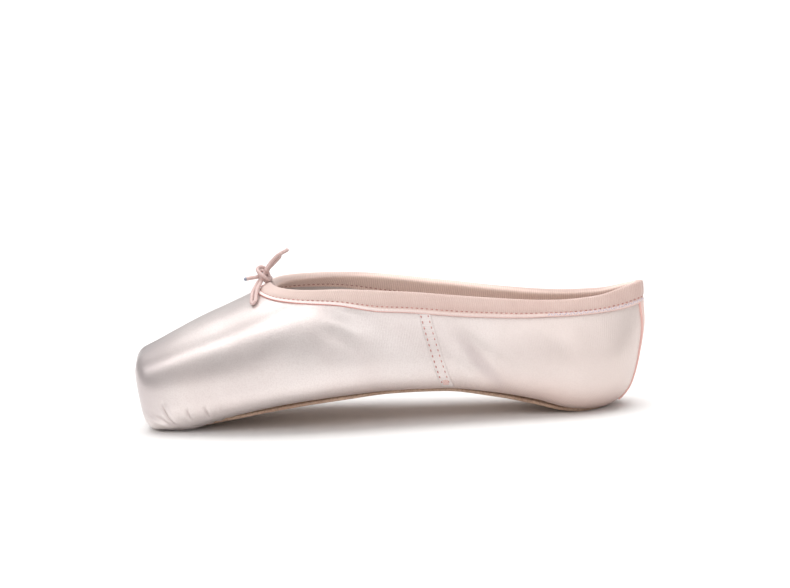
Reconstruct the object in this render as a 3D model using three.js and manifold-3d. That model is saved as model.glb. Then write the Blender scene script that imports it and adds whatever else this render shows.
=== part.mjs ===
// A satin pointe shoe, standing empty on its toe pleats and heel: a hollow upper with a stiffened box,
// a leather outsole, an insole, a bound collar with a drawstring, two side seams and a back strip.
// Millimetres, +Z up, toe towards -X, heel towards +X, the floor at z = 0.
import * as THREE from "three";
import { mergeVertices } from "three/addons/utils/BufferGeometryUtils.js";
import Module from "manifold-3d";

const wasm = await Module();
wasm.setup();

// Driving sizes of the last
const LENGTH = 240;
const BALL_HALF = 37.4;
const PLATFORM_HALF = 21.5;
const PLATFORM_TOP = 27;
const PLATFORM_LEAN = 0.14;
const PLATFORM_ROUND = 13;
const LEAN_REACH = 70;
const TOE_SQUARENESS = 4;
const SIDE_SQUARENESS = 3.1;
const DOME_SQUARENESS = 2.35;
const DRAW_POWER = 1.5;
const UPPER_CORNER = 6.5;
const LOWER_CORNER = 7;

// The last from toe to heel. along: distance back from the toe. bottom, widest and crown: heights of the
// underside, of the widest line and of the top of the closed section. half: half width. drawn: how much the
// empty upper is drawn in above its widest line, as a share of the half width.
const SECTIONS = [
  { along: 0, bottom: -0.4, widest: 15.5, crown: 35.6, half: PLATFORM_HALF, drawn: 0 },
  { along: 12, bottom: -0.6, widest: 17.5, crown: 40.8, half: 26.2, drawn: 0 },
  { along: 22, bottom: -0.3, widest: 19, crown: 45.6, half: 29.2, drawn: 0 },
  { along: 34, bottom: 2.6, widest: 20.5, crown: 51, half: 32.2, drawn: 0 },
  { along: 48, bottom: 6.0, widest: 22.5, crown: 56.7, half: 35, drawn: 0 },
  { along: 66, bottom: 9.5, widest: 25, crown: 65, half: BALL_HALF - 0.2, drawn: 0 },
  { along: 84, bottom: 11.9, widest: 27, crown: 74.5, half: BALL_HALF, drawn: 0.14 },
  { along: 102, bottom: 13.4, widest: 29, crown: 81, half: 36, drawn: 0.34 },
  { along: 122, bottom: 14.3, widest: 30.5, crown: 85, half: 33, drawn: 0.54 },
  { along: 146, bottom: 13.8, widest: 30.5, crown: 84, half: 30, drawn: 0.78 },
  { along: 168, bottom: 10.8, widest: 29, crown: 76, half: 28, drawn: 0.75 },
  { along: 188, bottom: 6.1, widest: 26.5, crown: 69, half: 26.6, drawn: 0.6 },
  { along: 204, bottom: 0.7, widest: 24.5, crown: 65.5, half: 25.6, drawn: 0.37 },
  { along: 214, bottom: -0.5, widest: 24, crown: 64.5, half: 25.2, drawn: 0.24 },
  { along: 240, bottom: -0.5, widest: 24, crown: 64, half: 25, drawn: 0.1 },
];

// The heel from floor to collar. back: where the back ends. depth: how far the rounding of the plan reaches
// forward. power and root shape it, from a round seat to a pointed collar.
const HEEL_ROWS = [
  { height: 0, back: 221, depth: 24, power: 2.2, root: 0.5 },
  { height: 4.5, back: 227.8, depth: 27, power: 2.2, root: 0.5 },
  { height: 11, back: 232.5, depth: 30, power: 2.2, root: 0.5 },
  { height: 25, back: 236.8, depth: 34, power: 2.1, root: 0.52 },
  { height: 41, back: 239.5, depth: 48, power: 1.8, root: 0.64 },
  { height: 60, back: 239.1, depth: 64, power: 1.6, root: 0.75 },
  { height: 76, back: 238.4, depth: 66, power: 1.6, root: 0.78 },
];

// The collar's rim from throat to heel, at the top of the binding.
const COLLAR_ROWS = [
  { along: 67, height: 66.5 },
  { along: 80, height: 65.7 },
  { along: 98, height: 65.2 },
  { along: 127, height: 62.4 },
  { along: 146, height: 59.8 },
  { along: 174, height: 56 },
  { along: 192, height: 54.1 },
  { along: 205, height: 53.5 },
  { along: 218, height: 54 },
  { along: 233, height: 57.1 },
  { along: 241, height: 59.2 },
];

// The binding tape from throat to heel: its width below the collar's edge.
const BINDING_ROWS = [
  { along: 66, width: 7.2 },
  { along: 84, width: 6.9 },
  { along: 98, width: 7.2 },
  { along: 122, width: 9.5 },
  { along: 158, width: 9.4 },
  { along: 186, width: 8.4 },
  { along: 205, width: 7.6 },
  { along: 218, width: 7.8 },
  { along: 232, width: 9 },
  { along: 241, width: 9 },
];

// The outsole. half: half width of the leather. proud: how far it stands below the satin around it.
const SOLE_ROWS = [
  { along: 22, half: 15, proud: 0 },
  { along: 34, half: 17.5, proud: 0.8 },
  { along: 52, half: 21.5, proud: 2 },
  { along: 74, half: 24, proud: 2.4 },
  { along: 94, half: 22.5, proud: 2.3 },
  { along: 118, half: 16.5, proud: 2 },
  { along: 145, half: 13.5, proud: 1.9 },
  { along: 170, half: 15, proud: 2.4 },
  { along: 190, half: 17, proud: 2.5 },
  { along: 204, half: 16.5, proud: 1.4 },
  { along: 222, half: 14, proud: 0.4 },
];
const SOLE_TIP = 21;
const SOLE_BACK = 221;
const SOLE_END_DEPTH = 14;
const SOLE_THICKNESS = 2.8;
const SOLE_BEVEL = 0.7;
const LASTING_MARGIN = 5;
const STEP_FOOT = LASTING_MARGIN - 0.4;
const STEP_HEAD = LASTING_MARGIN + 0.5;

// Walls and clearances
const GAP = 0.32;
const BOX_WALL = 2.8;
const QUARTER_WALL = 1.6;
const BOX_WALL_ENDS = 95;
const BINDING_CLOTH = 0.8;
const INSOLE_THICKNESS = 1.2;
const INSOLE_REACH = 7;
const SEAM_CLOTH = 0.5;
const SEAM_HALF = 2.8;
const SEAM_TOP = { along: 139.3, height: 50.8 };
const SEAM_FOOT = { along: 147.8, height: 19 };
const SEAM_STATIONS = 12;
const BACK_STRIP_HALF = 3.2;
const BACK_STRIP_FIRST_ROW = 3;

// Drawstring
const CORD = 1.8;
const KNOT_RING = 2.4;
const KNOT_DROP = 4.6;
const LOOP_SPREAD = 0.98;

// How finely the skin is divided: columns round the shoe, and rows up it, closer together where it bends
const HALF_COLUMNS = 40;
const COLUMNS = 2 * HALF_COLUMNS;
const PATH_STEPS = 120;
const ROWS = 12;
const TURN_WEIGHT = 0.9;
const RAIL_STEPS = 240;

const clamp = (value, low, high) => Math.min(high, Math.max(low, value));
const mix = (a, b, share) => a + (b - a) * share;
const smooth = (share) => {
  const s = clamp(share, 0, 1);
  return s * s * (3 - 2 * s);
};

// A column of a table at a place between its rows, on a smooth curve through them that doesn't overshoot.
function read(rows, key, column, at) {
  const last = rows.length - 1;
  const place = clamp(at, rows[0][key], rows[last][key]);
  let i = 0;
  while (i < last - 1 && place > rows[i + 1][key]) i += 1;
  const slope = (k) => (rows[k + 1][column] - rows[k][column]) / (rows[k + 1][key] - rows[k][key]);
  const tangent = (k) => {
    if (k === 0) return slope(0);
    if (k === last) return slope(last - 1);
    const before = slope(k - 1);
    const after = slope(k);
    return before * after <= 0 ? 0 : (2 * before * after) / (before + after);
  };
  const span = rows[i + 1][key] - rows[i][key];
  const u = (place - rows[i][key]) / span;
  const rise = 3 * u ** 2 - 2 * u ** 3;
  const leaving = (u ** 3 - 2 * u ** 2 + u) * span * tangent(i);
  const arriving = (u ** 3 - u ** 2) * span * tangent(i + 1);
  return mix(rows[i][column], rows[i + 1][column], rise) + leaving + arriving;
}

const section = (column, along) => read(SECTIONS, "along", column, along);
const heel = (column, height) => read(HEEL_ROWS, "height", column, height);
const collarHeight = (along) => read(COLLAR_ROWS, "along", "height", along);

// The drop of a rounded corner of that radius, a distance in from the face it rounds into.
const cornerDrop = (distance, radius) => {
  const missing = clamp(radius - distance, 0, radius);
  return radius - Math.sqrt(radius ** 2 - missing ** 2);
};

// Half the width of the last at a place in its side view, and 0 outside that view.
function lastHalfWidth(x, z) {
  const lean = PLATFORM_LEAN * (PLATFORM_TOP - z) * clamp(1 - x / LEAN_REACH, 0, 1);
  const along = x - lean;
  const back = heel("back", z);
  if (along <= 0 || x >= back) return 0;
  const crown = section("crown", along) - cornerDrop(along, UPPER_CORNER);
  const bottom = section("bottom", along) + cornerDrop(along, LOWER_CORNER);
  const widest = section("widest", along);
  if (z <= bottom || z >= crown) return 0;
  const rise = z < widest ? (widest - z) / (widest - bottom) : (z - widest) / (crown - widest);
  const power = z < widest ? SIDE_SQUARENESS : DOME_SQUARENESS;
  const upright = (1 - rise ** power) ** (1 / power);
  const drawnIn = z < widest ? 1 : 1 - section("drawn", along) * rise ** DRAW_POWER;
  const toe = clamp(1 - along / PLATFORM_ROUND, 0, 1);
  const toeRound = (1 - toe ** TOE_SQUARENESS) ** (1 / TOE_SQUARENESS);
  const depth = heel("depth", z);
  const rear = clamp((x - back + depth) / depth, 0, 1);
  const heelRound = (1 - rear ** heel("power", z)) ** heel("root", z);
  return section("half", along) * upright * drawnIn * toeRound * heelRound;
}

// The point where the ray from a hub inside the last through a target leaves the last.
function onLast(hub, target) {
  const ray = target.clone().sub(hub);
  const far = 400 / ray.length();
  let inside = 0;
  let outside = far;
  for (let k = 0; k < 44; k += 1) {
    const middle = (inside + outside) / 2;
    const p = hub.clone().addScaledVector(ray, middle);
    if (Math.abs(p.y) < lastHalfWidth(p.x, p.z)) inside = middle;
    else outside = middle;
  }
  return hub.clone().addScaledVector(ray, inside);
}

// A polyline read by distance from its start, or from its end where the distance is negative.
function byDistance(points) {
  const lengths = [0];
  for (let k = 1; k < points.length; k += 1) {
    lengths.push(lengths[k - 1] + points[k].distanceTo(points[k - 1]));
  }
  const total = lengths[lengths.length - 1];
  const at = (distance) => {
    const wanted = clamp(distance < 0 ? total + distance : distance, 0, total);
    let k = 1;
    while (k < lengths.length - 1 && lengths[k] < wanted) k += 1;
    const part = (wanted - lengths[k - 1]) / (lengths[k] - lengths[k - 1]);
    return points[k - 1].clone().lerp(points[k], part);
  };
  return { total, at };
}

// Three rails run round half the shoe, from the toe's middle to the heel's middle: the edge of the opening
// that the sole closes, the widest line, and the collar. Each is a fine polyline read by its share of length.
function rail(pointAt) {
  const eased = (k) => (1 - Math.cos((Math.PI * k) / RAIL_STEPS)) / 2;
  const path = byDistance(Array.from({ length: RAIL_STEPS + 1 }, (_, k) => pointAt(eased(k))));
  return (share) => path.at(clamp(share, 0, 1) * path.total);
}

const openingRail = rail((share) => {
  const x = mix(SOLE_TIP + LASTING_MARGIN, SOLE_BACK - LASTING_MARGIN, share);
  const front = clamp(1 - (x - SOLE_TIP - LASTING_MARGIN) / SOLE_END_DEPTH, 0, 1);
  const rear = clamp(1 - (SOLE_BACK - LASTING_MARGIN - x) / SOLE_END_DEPTH, 0, 1);
  const half = read(SOLE_ROWS, "along", "half", x) - LASTING_MARGIN;
  return new THREE.Vector3(x, -half * Math.sqrt((1 - front ** 2) * (1 - rear ** 2)), 0);
});

const platformX = PLATFORM_LEAN * (PLATFORM_TOP - SECTIONS[0].widest);
const widestRail = rail((share) => {
  const x = mix(platformX, heel("back", 24) - 0.01, share);
  const z = section("widest", x);
  return new THREE.Vector3(x, -lastHalfWidth(x, z), z);
});

// The raw edge of the upper lies one thickness of binding under the rim.
const edgeHeight = (along) => collarHeight(along) - BINDING_CLOTH - GAP;
function throatAlong() {
  let ahead = 40;
  let behind = 100;
  for (let k = 0; k < 40; k += 1) {
    const middle = (ahead + behind) / 2;
    if (section("crown", middle) < edgeHeight(middle)) ahead = middle;
    else behind = middle;
  }
  return ahead;
}
const THROAT = throatAlong();
const HEEL_TOP = heel("back", edgeHeight(LENGTH));
const collarRail = rail((share) => {
  const x = mix(THROAT, HEEL_TOP, share);
  const z = edgeHeight(x);
  return new THREE.Vector3(x, -lastHalfWidth(x, z), z);
});

// How far along each rail a column of the skin lies: more columns go to the toe and the heel.
const COLUMN_ROWS = [
  { column: 0, opening: 0, widest: 0, collar: 0 },
  { column: 0.14, opening: 0.06, widest: 0.075, collar: 0.045 },
  { column: 0.3, opening: 0.17, widest: 0.2, collar: 0.1 },
  { column: 0.5, opening: 0.36, widest: 0.38, collar: 0.22 },
  { column: 0.72, opening: 0.62, widest: 0.62, collar: 0.54 },
  { column: 0.9, opening: 0.86, widest: 0.86, collar: 0.86 },
  { column: 1, opening: 1, widest: 1, collar: 1 },
];

const HUB_ROWS = [
  { along: 46, height: 24 },
  { along: 120, height: 36 },
  { along: 206, height: 26 },
];
const hubAt = (along) => {
  const x = clamp(along, HUB_ROWS[0].along, HUB_ROWS[2].along);
  return new THREE.Vector3(x, 0, read(HUB_ROWS, "along", "height", x));
};

// A path over the last's skin, from the sole opening round the widest line to the collar, for one column of
// the near side. share runs from 0 at the toe's middle to 1 at the heel's middle.
function skinPath(share) {
  const at = (name) => read(COLUMN_ROWS, "column", name, share);
  const start = openingRail(at("opening"));
  start.z = section("bottom", start.x) - 1;
  const middle = widestRail(at("widest"));
  const end = collarRail(at("collar"));
  const bend = middle.clone().multiplyScalar(2).addScaledVector(start, -0.5).addScaledVector(end, -0.5);
  const points = [];
  for (let k = 0; k <= PATH_STEPS; k += 1) {
    const t = k / PATH_STEPS;
    const target = start.clone().multiplyScalar((1 - t) ** 2);
    target.addScaledVector(bend, 2 * t * (1 - t)).addScaledVector(end, t ** 2);
    if (share === 0 || share === 1) target.y = 0;
    points.push(k === PATH_STEPS ? end : onLast(hubAt(target.x), target));
  }
  return points;
}

const nearPaths = [];
for (let c = 0; c <= HALF_COLUMNS; c += 1) nearPaths.push(byDistance(skinPath(c / HALF_COLUMNS)));

const nearColumn = (column) => (column > HALF_COLUMNS ? COLUMNS - column : column);

// Column c of the whole ring: the near side from toe to heel, then the far side back to the toe. The skin is
// pressed flat where it stands on the floor.
function skinPoint(column, distance) {
  const c = ((column % COLUMNS) + COLUMNS) % COLUMNS;
  const p = nearPaths[nearColumn(c)].at(distance);
  if (c > HALF_COLUMNS) p.y = -p.y;
  p.z = Math.max(p.z, 0);
  return p;
}
const skinLength = (column) => nearPaths[nearColumn(column)].total;
const eachColumn = (make) => Array.from({ length: COLUMNS }, (_, c) => make(c));

// The outward normal of the skin, from its neighbours along and across.
function skinNormal(column, distance) {
  const step = 0.6;
  const total = skinLength(column);
  const here = distance < 0 ? total + distance : distance;
  const up = skinPoint(column, Math.min(here + step, total)).sub(skinPoint(column, Math.max(here - step, 0)));
  const next = (column + 1) % COLUMNS;
  const before = (column + COLUMNS - 1) % COLUMNS;
  const share = here / total;
  const along = skinPoint(next, share * skinLength(next)).sub(skinPoint(before, share * skinLength(before)));
  return along.cross(up).normalize();
}

const wallAt = (x) => mix(BOX_WALL, QUARTER_WALL, smooth((x - 40) / (BOX_WALL_ENDS - 40)));

// The inner face of the wall, and the skin moved off the wall: outwards by a positive offset, and inwards
// from the inner face by a negative one.
function innerFace(column, distance) {
  const p = skinPoint(column, distance);
  return p.addScaledVector(skinNormal(column, distance), -wallAt(p.x));
}
function offSkin(column, distance, offset) {
  const p = offset < 0 ? innerFace(column, distance) : skinPoint(column, distance);
  return p.addScaledVector(skinNormal(column, distance), offset);
}

// Under the foot the lasting margin steps up so that the leather lies let in.
const marginStep = (x) => SOLE_THICKNESS + GAP - read(SOLE_ROWS, "along", "proud", x);
function marginPoint(column, distance, lift) {
  const p = skinPoint(column, distance);
  p.z += marginStep(p.x) + lift;
  return p;
}

// A closed mesh through rings of equal length. Rings either close on the first one again, or end in two caps
// laid across from the near half of a ring to its far half.
function skinSolid(rings, closes) {
  const count = rings[0].length;
  const index = [];
  const points = rings.flat();
  const quad = (a, b, c, d) => {
    const level = points[a].distanceTo(points[c]) <= points[b].distanceTo(points[d]);
    if (level) index.push(a, b, c, a, c, d);
    else index.push(a, b, d, b, c, d);
  };
  const spans = closes ? rings.length : rings.length - 1;
  for (let r = 0; r < spans; r += 1) {
    const below = r * count;
    const above = ((r + 1) % rings.length) * count;
    for (let c = 0; c < count; c += 1) {
      const n = (c + 1) % count;
      quad(below + c, below + n, above + n, above + c);
    }
  }
  if (!closes) {
    const top = (rings.length - 1) * count;
    for (let c = 0; c < count / 2; c += 1) {
      const a = (count - c) % count;
      const b = count - c - 1;
      if (a !== c) index.push(c + 1, c, a, top + c, top + c + 1, top + a);
      if (b !== c + 1) index.push(c + 1, a, b, top + c + 1, top + b, top + a);
    }
  }
  const positions = points.flatMap((p) => [p.x - LENGTH / 2, p.y, p.z]);
  return closedGeometry(positions, index);
}

// A geometry from points and triangles, turned so that its faces look outwards.
function closedGeometry(positions, index) {
  let volume = 0;
  const at = (i) => new THREE.Vector3(positions[3 * i], positions[3 * i + 1], positions[3 * i + 2]);
  for (let i = 0; i < index.length; i += 3) {
    volume += at(index[i]).dot(at(index[i + 1]).cross(at(index[i + 2])));
  }
  if (volume < 0) index.reverse();
  const geometry = new THREE.BufferGeometry();
  geometry.setAttribute("position", new THREE.Float32BufferAttribute(positions, 3));
  geometry.setIndex(index);
  geometry.computeVertexNormals();
  return geometry;
}

// How far the binding reaches down a column's path.
const tapeWidth = (column) => read(BINDING_ROWS, "along", "width", skinPoint(column, skinLength(column)).x);

// Distances of the rows along each path, from the head of the margin's step to the binding's lower edge.
function rowTables() {
  return nearPaths.map(({ total, at }, column) => {
    const steps = PATH_STEPS;
    const first = STEP_HEAD;
    const last = total - tapeWidth(column);
    const points = Array.from({ length: steps + 1 }, (_, k) => at(mix(first, last, k / steps)));
    const turns = [0];
    for (let k = 1; k < steps; k += 1) {
      const into = points[k].clone().sub(points[k - 1]);
      turns.push(turns[k - 1] + into.angleTo(points[k + 1].clone().sub(points[k])));
    }
    turns.push(turns[steps - 1]);
    const measure = turns.map((turn, k) => k / steps + (TURN_WEIGHT * turn) / turns[steps]);
    return Array.from({ length: ROWS + 1 }, (_, row) => {
      const wanted = (row / ROWS) * measure[steps];
      const k = Math.max(1, measure.findIndex((m) => m >= wanted - 1e-9));
      const part = (wanted - measure[k - 1]) / (measure[k] - measure[k - 1]);
      return mix(first, last, (k - 1 + part) / steps);
    });
  });
}
const ROW_TABLES = rowTables();
const rowDistance = (row) => (column) => ROW_TABLES[nearColumn(column)][row];

// Upper: the outer skin from the opening up to the collar, then the inner face of the wall back down.
function upperGeometry() {
  const rows = Array.from({ length: ROWS + 1 }, (_, row) => rowDistance(row));
  rows.push((column) => skinLength(column) - tapeWidth(column) / 2);
  rows.push((column) => skinLength(column));
  const outer = rows.map((row) => eachColumn((c) => skinPoint(c, row(c))));
  const inner = rows.map((row) => eachColumn((c) => innerFace(c, row(c))));
  const margins = [0, STEP_FOOT];
  const under = margins.map((d) => eachColumn((c) => marginPoint(c, d, 0)));
  const over = margins.map((d) => eachColumn((c) => marginPoint(c, d, wallAt(skinPoint(c, d).x))));
  return skinSolid([...under, ...outer, ...inner.reverse(), ...over.reverse()], true);
}

// Binding: a folded casing over the collar's edge. Each corner of its section is a distance below the edge
// and an offset from the skin, outside first, over the fold and down inside.
function bindingGeometry() {
  const cover = GAP + BINDING_CLOTH;
  const fold = (column, rise, offset) => {
    const total = skinLength(column);
    const up = skinPoint(column, total).sub(skinPoint(column, total - 1.5)).normalize();
    return offSkin(column, total, offset).addScaledVector(up, rise);
  };
  const leg = (share, offset) => eachColumn((c) => offSkin(c, skinLength(c) - share * tapeWidth(c), offset));
  const cap = (rise, offset) => eachColumn((c) => fold(c, rise, offset));
  const middle = eachColumn((c) => fold(c, cover, cover).lerp(fold(c, cover, -cover), 0.5));
  return skinSolid(
    [
      leg(1, GAP),
      leg(1, cover),
      leg(0.5, cover),
      leg(0, cover),
      cap(cover * 0.8, cover * 0.55),
      middle,
      cap(cover * 0.8, -cover * 0.55),
      leg(0, -cover),
      leg(0.5, -cover),
      leg(1, -cover),
      leg(1, -GAP),
      leg(0.5, -GAP),
      cap(GAP, -GAP),
      cap(GAP, GAP),
      leg(0.5, GAP),
    ],
    true,
  );
}

// Outsole: leather let in under the lasting margin, with a small bevel, flat where it stands.
function outsoleGeometry() {
  const edge = STEP_FOOT - GAP;
  const onFloor = (p) => p.setZ(Math.max(p.z, 0));
  const top = (d) => eachColumn((c) => marginPoint(c, d, -GAP));
  const low = (d, share) => eachColumn((c) => onFloor(marginPoint(c, d, -GAP - share * SOLE_THICKNESS)));
  return skinSolid([top(0), top(edge), low(edge, SOLE_BEVEL), low(edge - SOLE_BEVEL, 1), low(0, 1)], false);
}

// Insole: a thin sheet over the lasting margin.
function insoleGeometry() {
  const sheet = (d, lift) =>
    eachColumn((c) => {
      const p = marginPoint(c, Math.min(d, STEP_FOOT), wallAt(skinPoint(c, 0).x) + GAP + lift);
      const out = innerFace(c, d);
      return new THREE.Vector3(out.x, out.y, p.z);
    });
  const rim = [sheet(INSOLE_REACH, 0), sheet(INSOLE_REACH, INSOLE_THICKNESS)];
  return skinSolid([sheet(0, 0), ...rim, sheet(0, INSOLE_THICKNESS)], false);
}

// A strip of stations, each a ring of six points: its three outer points and its three inner ones.
const stripRing = (outer, inner) => [inner[0], ...outer, inner[2], inner[1]];

// Side seam: a strip slanting back from the binding down to the sole, on the near (-1) or far (1) side.
function onSide(x, z, side, offset) {
  const step = 0.2;
  const rise = (lastHalfWidth(x, z + step) - lastHalfWidth(x, z - step)) / (2 * step);
  const run = (lastHalfWidth(x + step, z) - lastHalfWidth(x - step, z)) / (2 * step);
  const normal = new THREE.Vector3(-run, side, -rise).normalize();
  return new THREE.Vector3(x, side * lastHalfWidth(x, z), z).addScaledVector(normal, offset);
}
function sideSeamGeometry(side) {
  const stations = [];
  for (let k = 0; k <= SEAM_STATIONS; k += 1) {
    const share = k / SEAM_STATIONS;
    const x = mix(SEAM_TOP.along, SEAM_FOOT.along, share);
    const z = mix(SEAM_TOP.height, SEAM_FOOT.height, share);
    const across = (offset) => [-SEAM_HALF, 0, SEAM_HALF].map((w) => onSide(x + w, z, side, offset));
    stations.push(stripRing(across(GAP + SEAM_CLOTH), across(GAP)));
  }
  return skinSolid(stations, false);
}

// Back strip: down the middle of the heel, from just under the binding to the seat, on the rows of the skin.
function backStripGeometry() {
  const stations = [];
  const between = (side, row, offset) => {
    const middle = offSkin(HALF_COLUMNS, row(HALF_COLUMNS), offset);
    const beside = offSkin(HALF_COLUMNS + side, row(HALF_COLUMNS + side), offset);
    return middle.lerp(beside, side === 0 ? 0 : BACK_STRIP_HALF / middle.distanceTo(beside));
  };
  for (let k = ROWS; k >= BACK_STRIP_FIRST_ROW; k -= 1) {
    const row = (column) => rowDistance(k)(column) - (k === ROWS ? GAP : 0);
    const across = (offset) => [-1, 0, 1].map((side) => between(side, row, offset));
    stations.push(stripRing(across(GAP + SEAM_CLOTH), across(GAP)));
  }
  return skinSolid(stations, false);
}

// The top of the last over a place in plan, moved off the skin along its normal.
function onCrown(x, y, offset) {
  const heightAt = (px, py) => {
    let low = section("widest", px);
    let high = section("crown", px);
    for (let k = 0; k < 40; k += 1) {
      const middle = (low + high) / 2;
      if (lastHalfWidth(px, middle) > Math.abs(py)) low = middle;
      else high = middle;
    }
    return low;
  };
  const step = 0.3;
  const run = (heightAt(x + step, y) - heightAt(x - step, y)) / (2 * step);
  const rise = (heightAt(x, y + step) - heightAt(x, y - step)) / (2 * step);
  const normal = new THREE.Vector3(-run, -rise, 1).normalize();
  return new THREE.Vector3(x, y, heightAt(x, y)).addScaledVector(normal, offset);
}

// A round cord along a smooth curve through its points.
function cordGeometry(points) {
  const curve = new THREE.CatmullRomCurve3(points);
  const round = new THREE.Shape();
  const sides = 8;
  for (let k = 0; k < sides; k += 1) {
    const angle = (2 * Math.PI * k) / sides;
    const x = (CORD / 2) * Math.cos(angle);
    const y = (CORD / 2) * Math.sin(angle);
    if (k === 0) round.moveTo(x, y);
    else round.lineTo(x, y);
  }
  const steps = Math.max(4, 2 * points.length);
  const geometry = new THREE.ExtrudeGeometry(round, { steps, bevelEnabled: false, extrudePath: curve });
  return geometry.translate(-LENGTH / 2, 0, 0);
}

const OVER_BINDING = GAP + BINDING_CLOTH + GAP;
const KNOT = offSkin(0, -KNOT_DROP, OVER_BINDING + CORD / 2 + KNOT_RING);

// Knot: a core with two turns of cord round it, joined into one solid.
function knotGeometry() {
  const solid = (geometry) => {
    geometry.deleteAttribute("normal");
    geometry.deleteAttribute("uv");
    const merged = mergeVertices(geometry, 1e-4);
    const vertProperties = new Float32Array(merged.attributes.position.array);
    const triVerts = new Uint32Array(merged.index.array);
    return new wasm.Manifold(new wasm.Mesh({ numProp: 3, vertProperties, triVerts }));
  };
  const turn = (tilt, lean) => {
    const ringed = new THREE.TorusGeometry(KNOT_RING, CORD / 2, 8, 16);
    return solid(ringed.rotateX(tilt).rotateY(lean));
  };
  const core = solid(new THREE.SphereGeometry(KNOT_RING, 10, 8));
  const knot = core.add(turn(0.5, 0.9)).add(turn(1.35, -0.35));
  const mesh = knot.getMesh();
  const positions = Array.from(mesh.vertProperties);
  const geometry = closedGeometry(positions, Array.from(mesh.triVerts));
  return geometry.translate(KNOT.x - LENGTH / 2, KNOT.y, KNOT.z);
}

// Loop: out of the knot over the binding, down on to the near side of the vamp, round and back.
const LOOP_ROWS = [
  { across: 3.4, along: 62.6, over: OVER_BINDING + 1 },
  { across: 7.5, along: 61.7, over: OVER_BINDING + 0.4 },
  { across: 11.5, along: 61, over: OVER_BINDING + 0.15 },
  { across: 15, along: 60.6, over: GAP + 0.6 },
  { across: 18.2, along: 60.4, over: GAP + 0.1 },
];
const LOOP_TIP = { across: 19.6, along: 60.3, over: GAP + 0.1 };
function loopGeometry() {
  const lay = (row, side) => onCrown(row.along + side * LOOP_SPREAD, -row.across, row.over + CORD / 2);
  const strand = (side) => LOOP_ROWS.map((row) => lay(row, side));
  return cordGeometry([...strand(-1), lay(LOOP_TIP, 0), ...strand(1).reverse()]);
}

// The two ends, from the knot's side out into the air. Steps are taken from the knot's middle.
const SHORT_END = [
  { along: -3.5, across: -0.4, up: -0.4 },
  { along: -6.4, across: -1.2, up: -0.7 },
  { along: -9.6, across: -2, up: -1.1 },
];
const LONG_END = [
  { along: 1.55, across: -0.65, up: 2.95 },
  { along: 3.1, across: -1.2, up: 5.4 },
  { along: 5.5, across: -1.5, up: 8.2 },
  { along: 8.4, across: -1.8, up: 10.4 },
  { along: 12.8, across: -2, up: 12.4 },
];
const endGeometry = (rows) =>
  cordGeometry(rows.map((r) => new THREE.Vector3(KNOT.x + r.along, KNOT.y + r.across, KNOT.z + r.up)));

const satin = new THREE.MeshStandardMaterial({ color: 0xe4d6d2, roughness: 0.35, metalness: 0 });
const leather = new THREE.MeshStandardMaterial({ color: 0x96735a, roughness: 0.75, metalness: 0 });
const lining = new THREE.MeshStandardMaterial({ color: 0xe6d8cc, roughness: 0.9, metalness: 0 });
const cord = new THREE.MeshStandardMaterial({ color: 0xdcbcb2, roughness: 0.8, metalness: 0 });
const casing = new THREE.MeshStandardMaterial({ color: 0xe4cac0, roughness: 0.85, metalness: 0 });

const shoe = new THREE.Group();
function place(name, geometry, material) {
  const mesh = new THREE.Mesh(geometry, material);
  mesh.name = name;
  shoe.add(mesh);
}
place("upper", upperGeometry(), satin);
place("outsole", outsoleGeometry(), leather);
place("insole", insoleGeometry(), lining);
place("binding", bindingGeometry(), casing);
place("side_seam_near", sideSeamGeometry(-1), satin);
place("side_seam_far", sideSeamGeometry(1), satin);
place("back_strip", backStripGeometry(), satin);
place("drawstring_knot", knotGeometry(), cord);
place("drawstring_loop", loopGeometry(), cord);
place("drawstring_end_short", endGeometry(SHORT_END), cord);
place("drawstring_end_long", endGeometry(LONG_END), cord);

export default shoe;
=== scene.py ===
# %% [markdown]
# A satin pointe shoe, standing empty on its toe pleats and its heel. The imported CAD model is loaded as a
# fixed frame, in metres, with the toe towards -X, the near side towards -Y and the floor at z = 0. Every
# piece made here is laid on that frame and rides on its one body.

# %% Load the frame
import math

import bpy
import numpy as np
from mathutils import Matrix, Vector


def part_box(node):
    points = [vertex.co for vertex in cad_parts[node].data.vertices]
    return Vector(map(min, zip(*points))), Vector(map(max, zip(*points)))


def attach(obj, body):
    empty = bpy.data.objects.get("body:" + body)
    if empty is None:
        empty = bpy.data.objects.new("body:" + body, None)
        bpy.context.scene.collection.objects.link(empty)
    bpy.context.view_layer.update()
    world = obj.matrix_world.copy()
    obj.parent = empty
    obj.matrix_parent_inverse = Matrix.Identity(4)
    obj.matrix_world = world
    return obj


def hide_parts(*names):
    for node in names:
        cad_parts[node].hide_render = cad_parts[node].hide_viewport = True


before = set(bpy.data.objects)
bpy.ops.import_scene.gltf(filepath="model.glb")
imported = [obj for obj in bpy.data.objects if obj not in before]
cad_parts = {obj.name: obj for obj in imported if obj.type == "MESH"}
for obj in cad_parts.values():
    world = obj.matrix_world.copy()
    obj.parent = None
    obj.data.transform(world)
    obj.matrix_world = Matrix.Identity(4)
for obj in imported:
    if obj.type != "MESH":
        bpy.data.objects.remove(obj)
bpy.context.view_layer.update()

BODY = "root"
bpy.ops.object.select_all(action="DESELECT")
print("nodes in the frame:", ", ".join(sorted(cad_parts)))

# %% [markdown]
# The camera comes first, because everything is judged through it. A product photograph is taken from far
# away with a long lens, so that the shoe isn't distorted. The camera stands a little above the floor, is
# turned slightly towards the heel and is tipped a few degrees, which is why the floor runs downhill to
# the left. It could be aimed with a constraint, but a matrix built from three plain directions is easier
# to read.

# %% Camera
AIM = Vector((0.0, 0.0, 0.030))
AZIMUTH = math.radians(5.0)
ELEVATION = math.radians(10.0)
ROLL = math.radians(3.6)
DISTANCE = 1.5
IMAGE_WIDTH = 790
PIXELS_PER_METRE = 2128.4
AIM_FROM_CENTRE = (-5.46, -57.51)
SENSOR = 36.0

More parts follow.
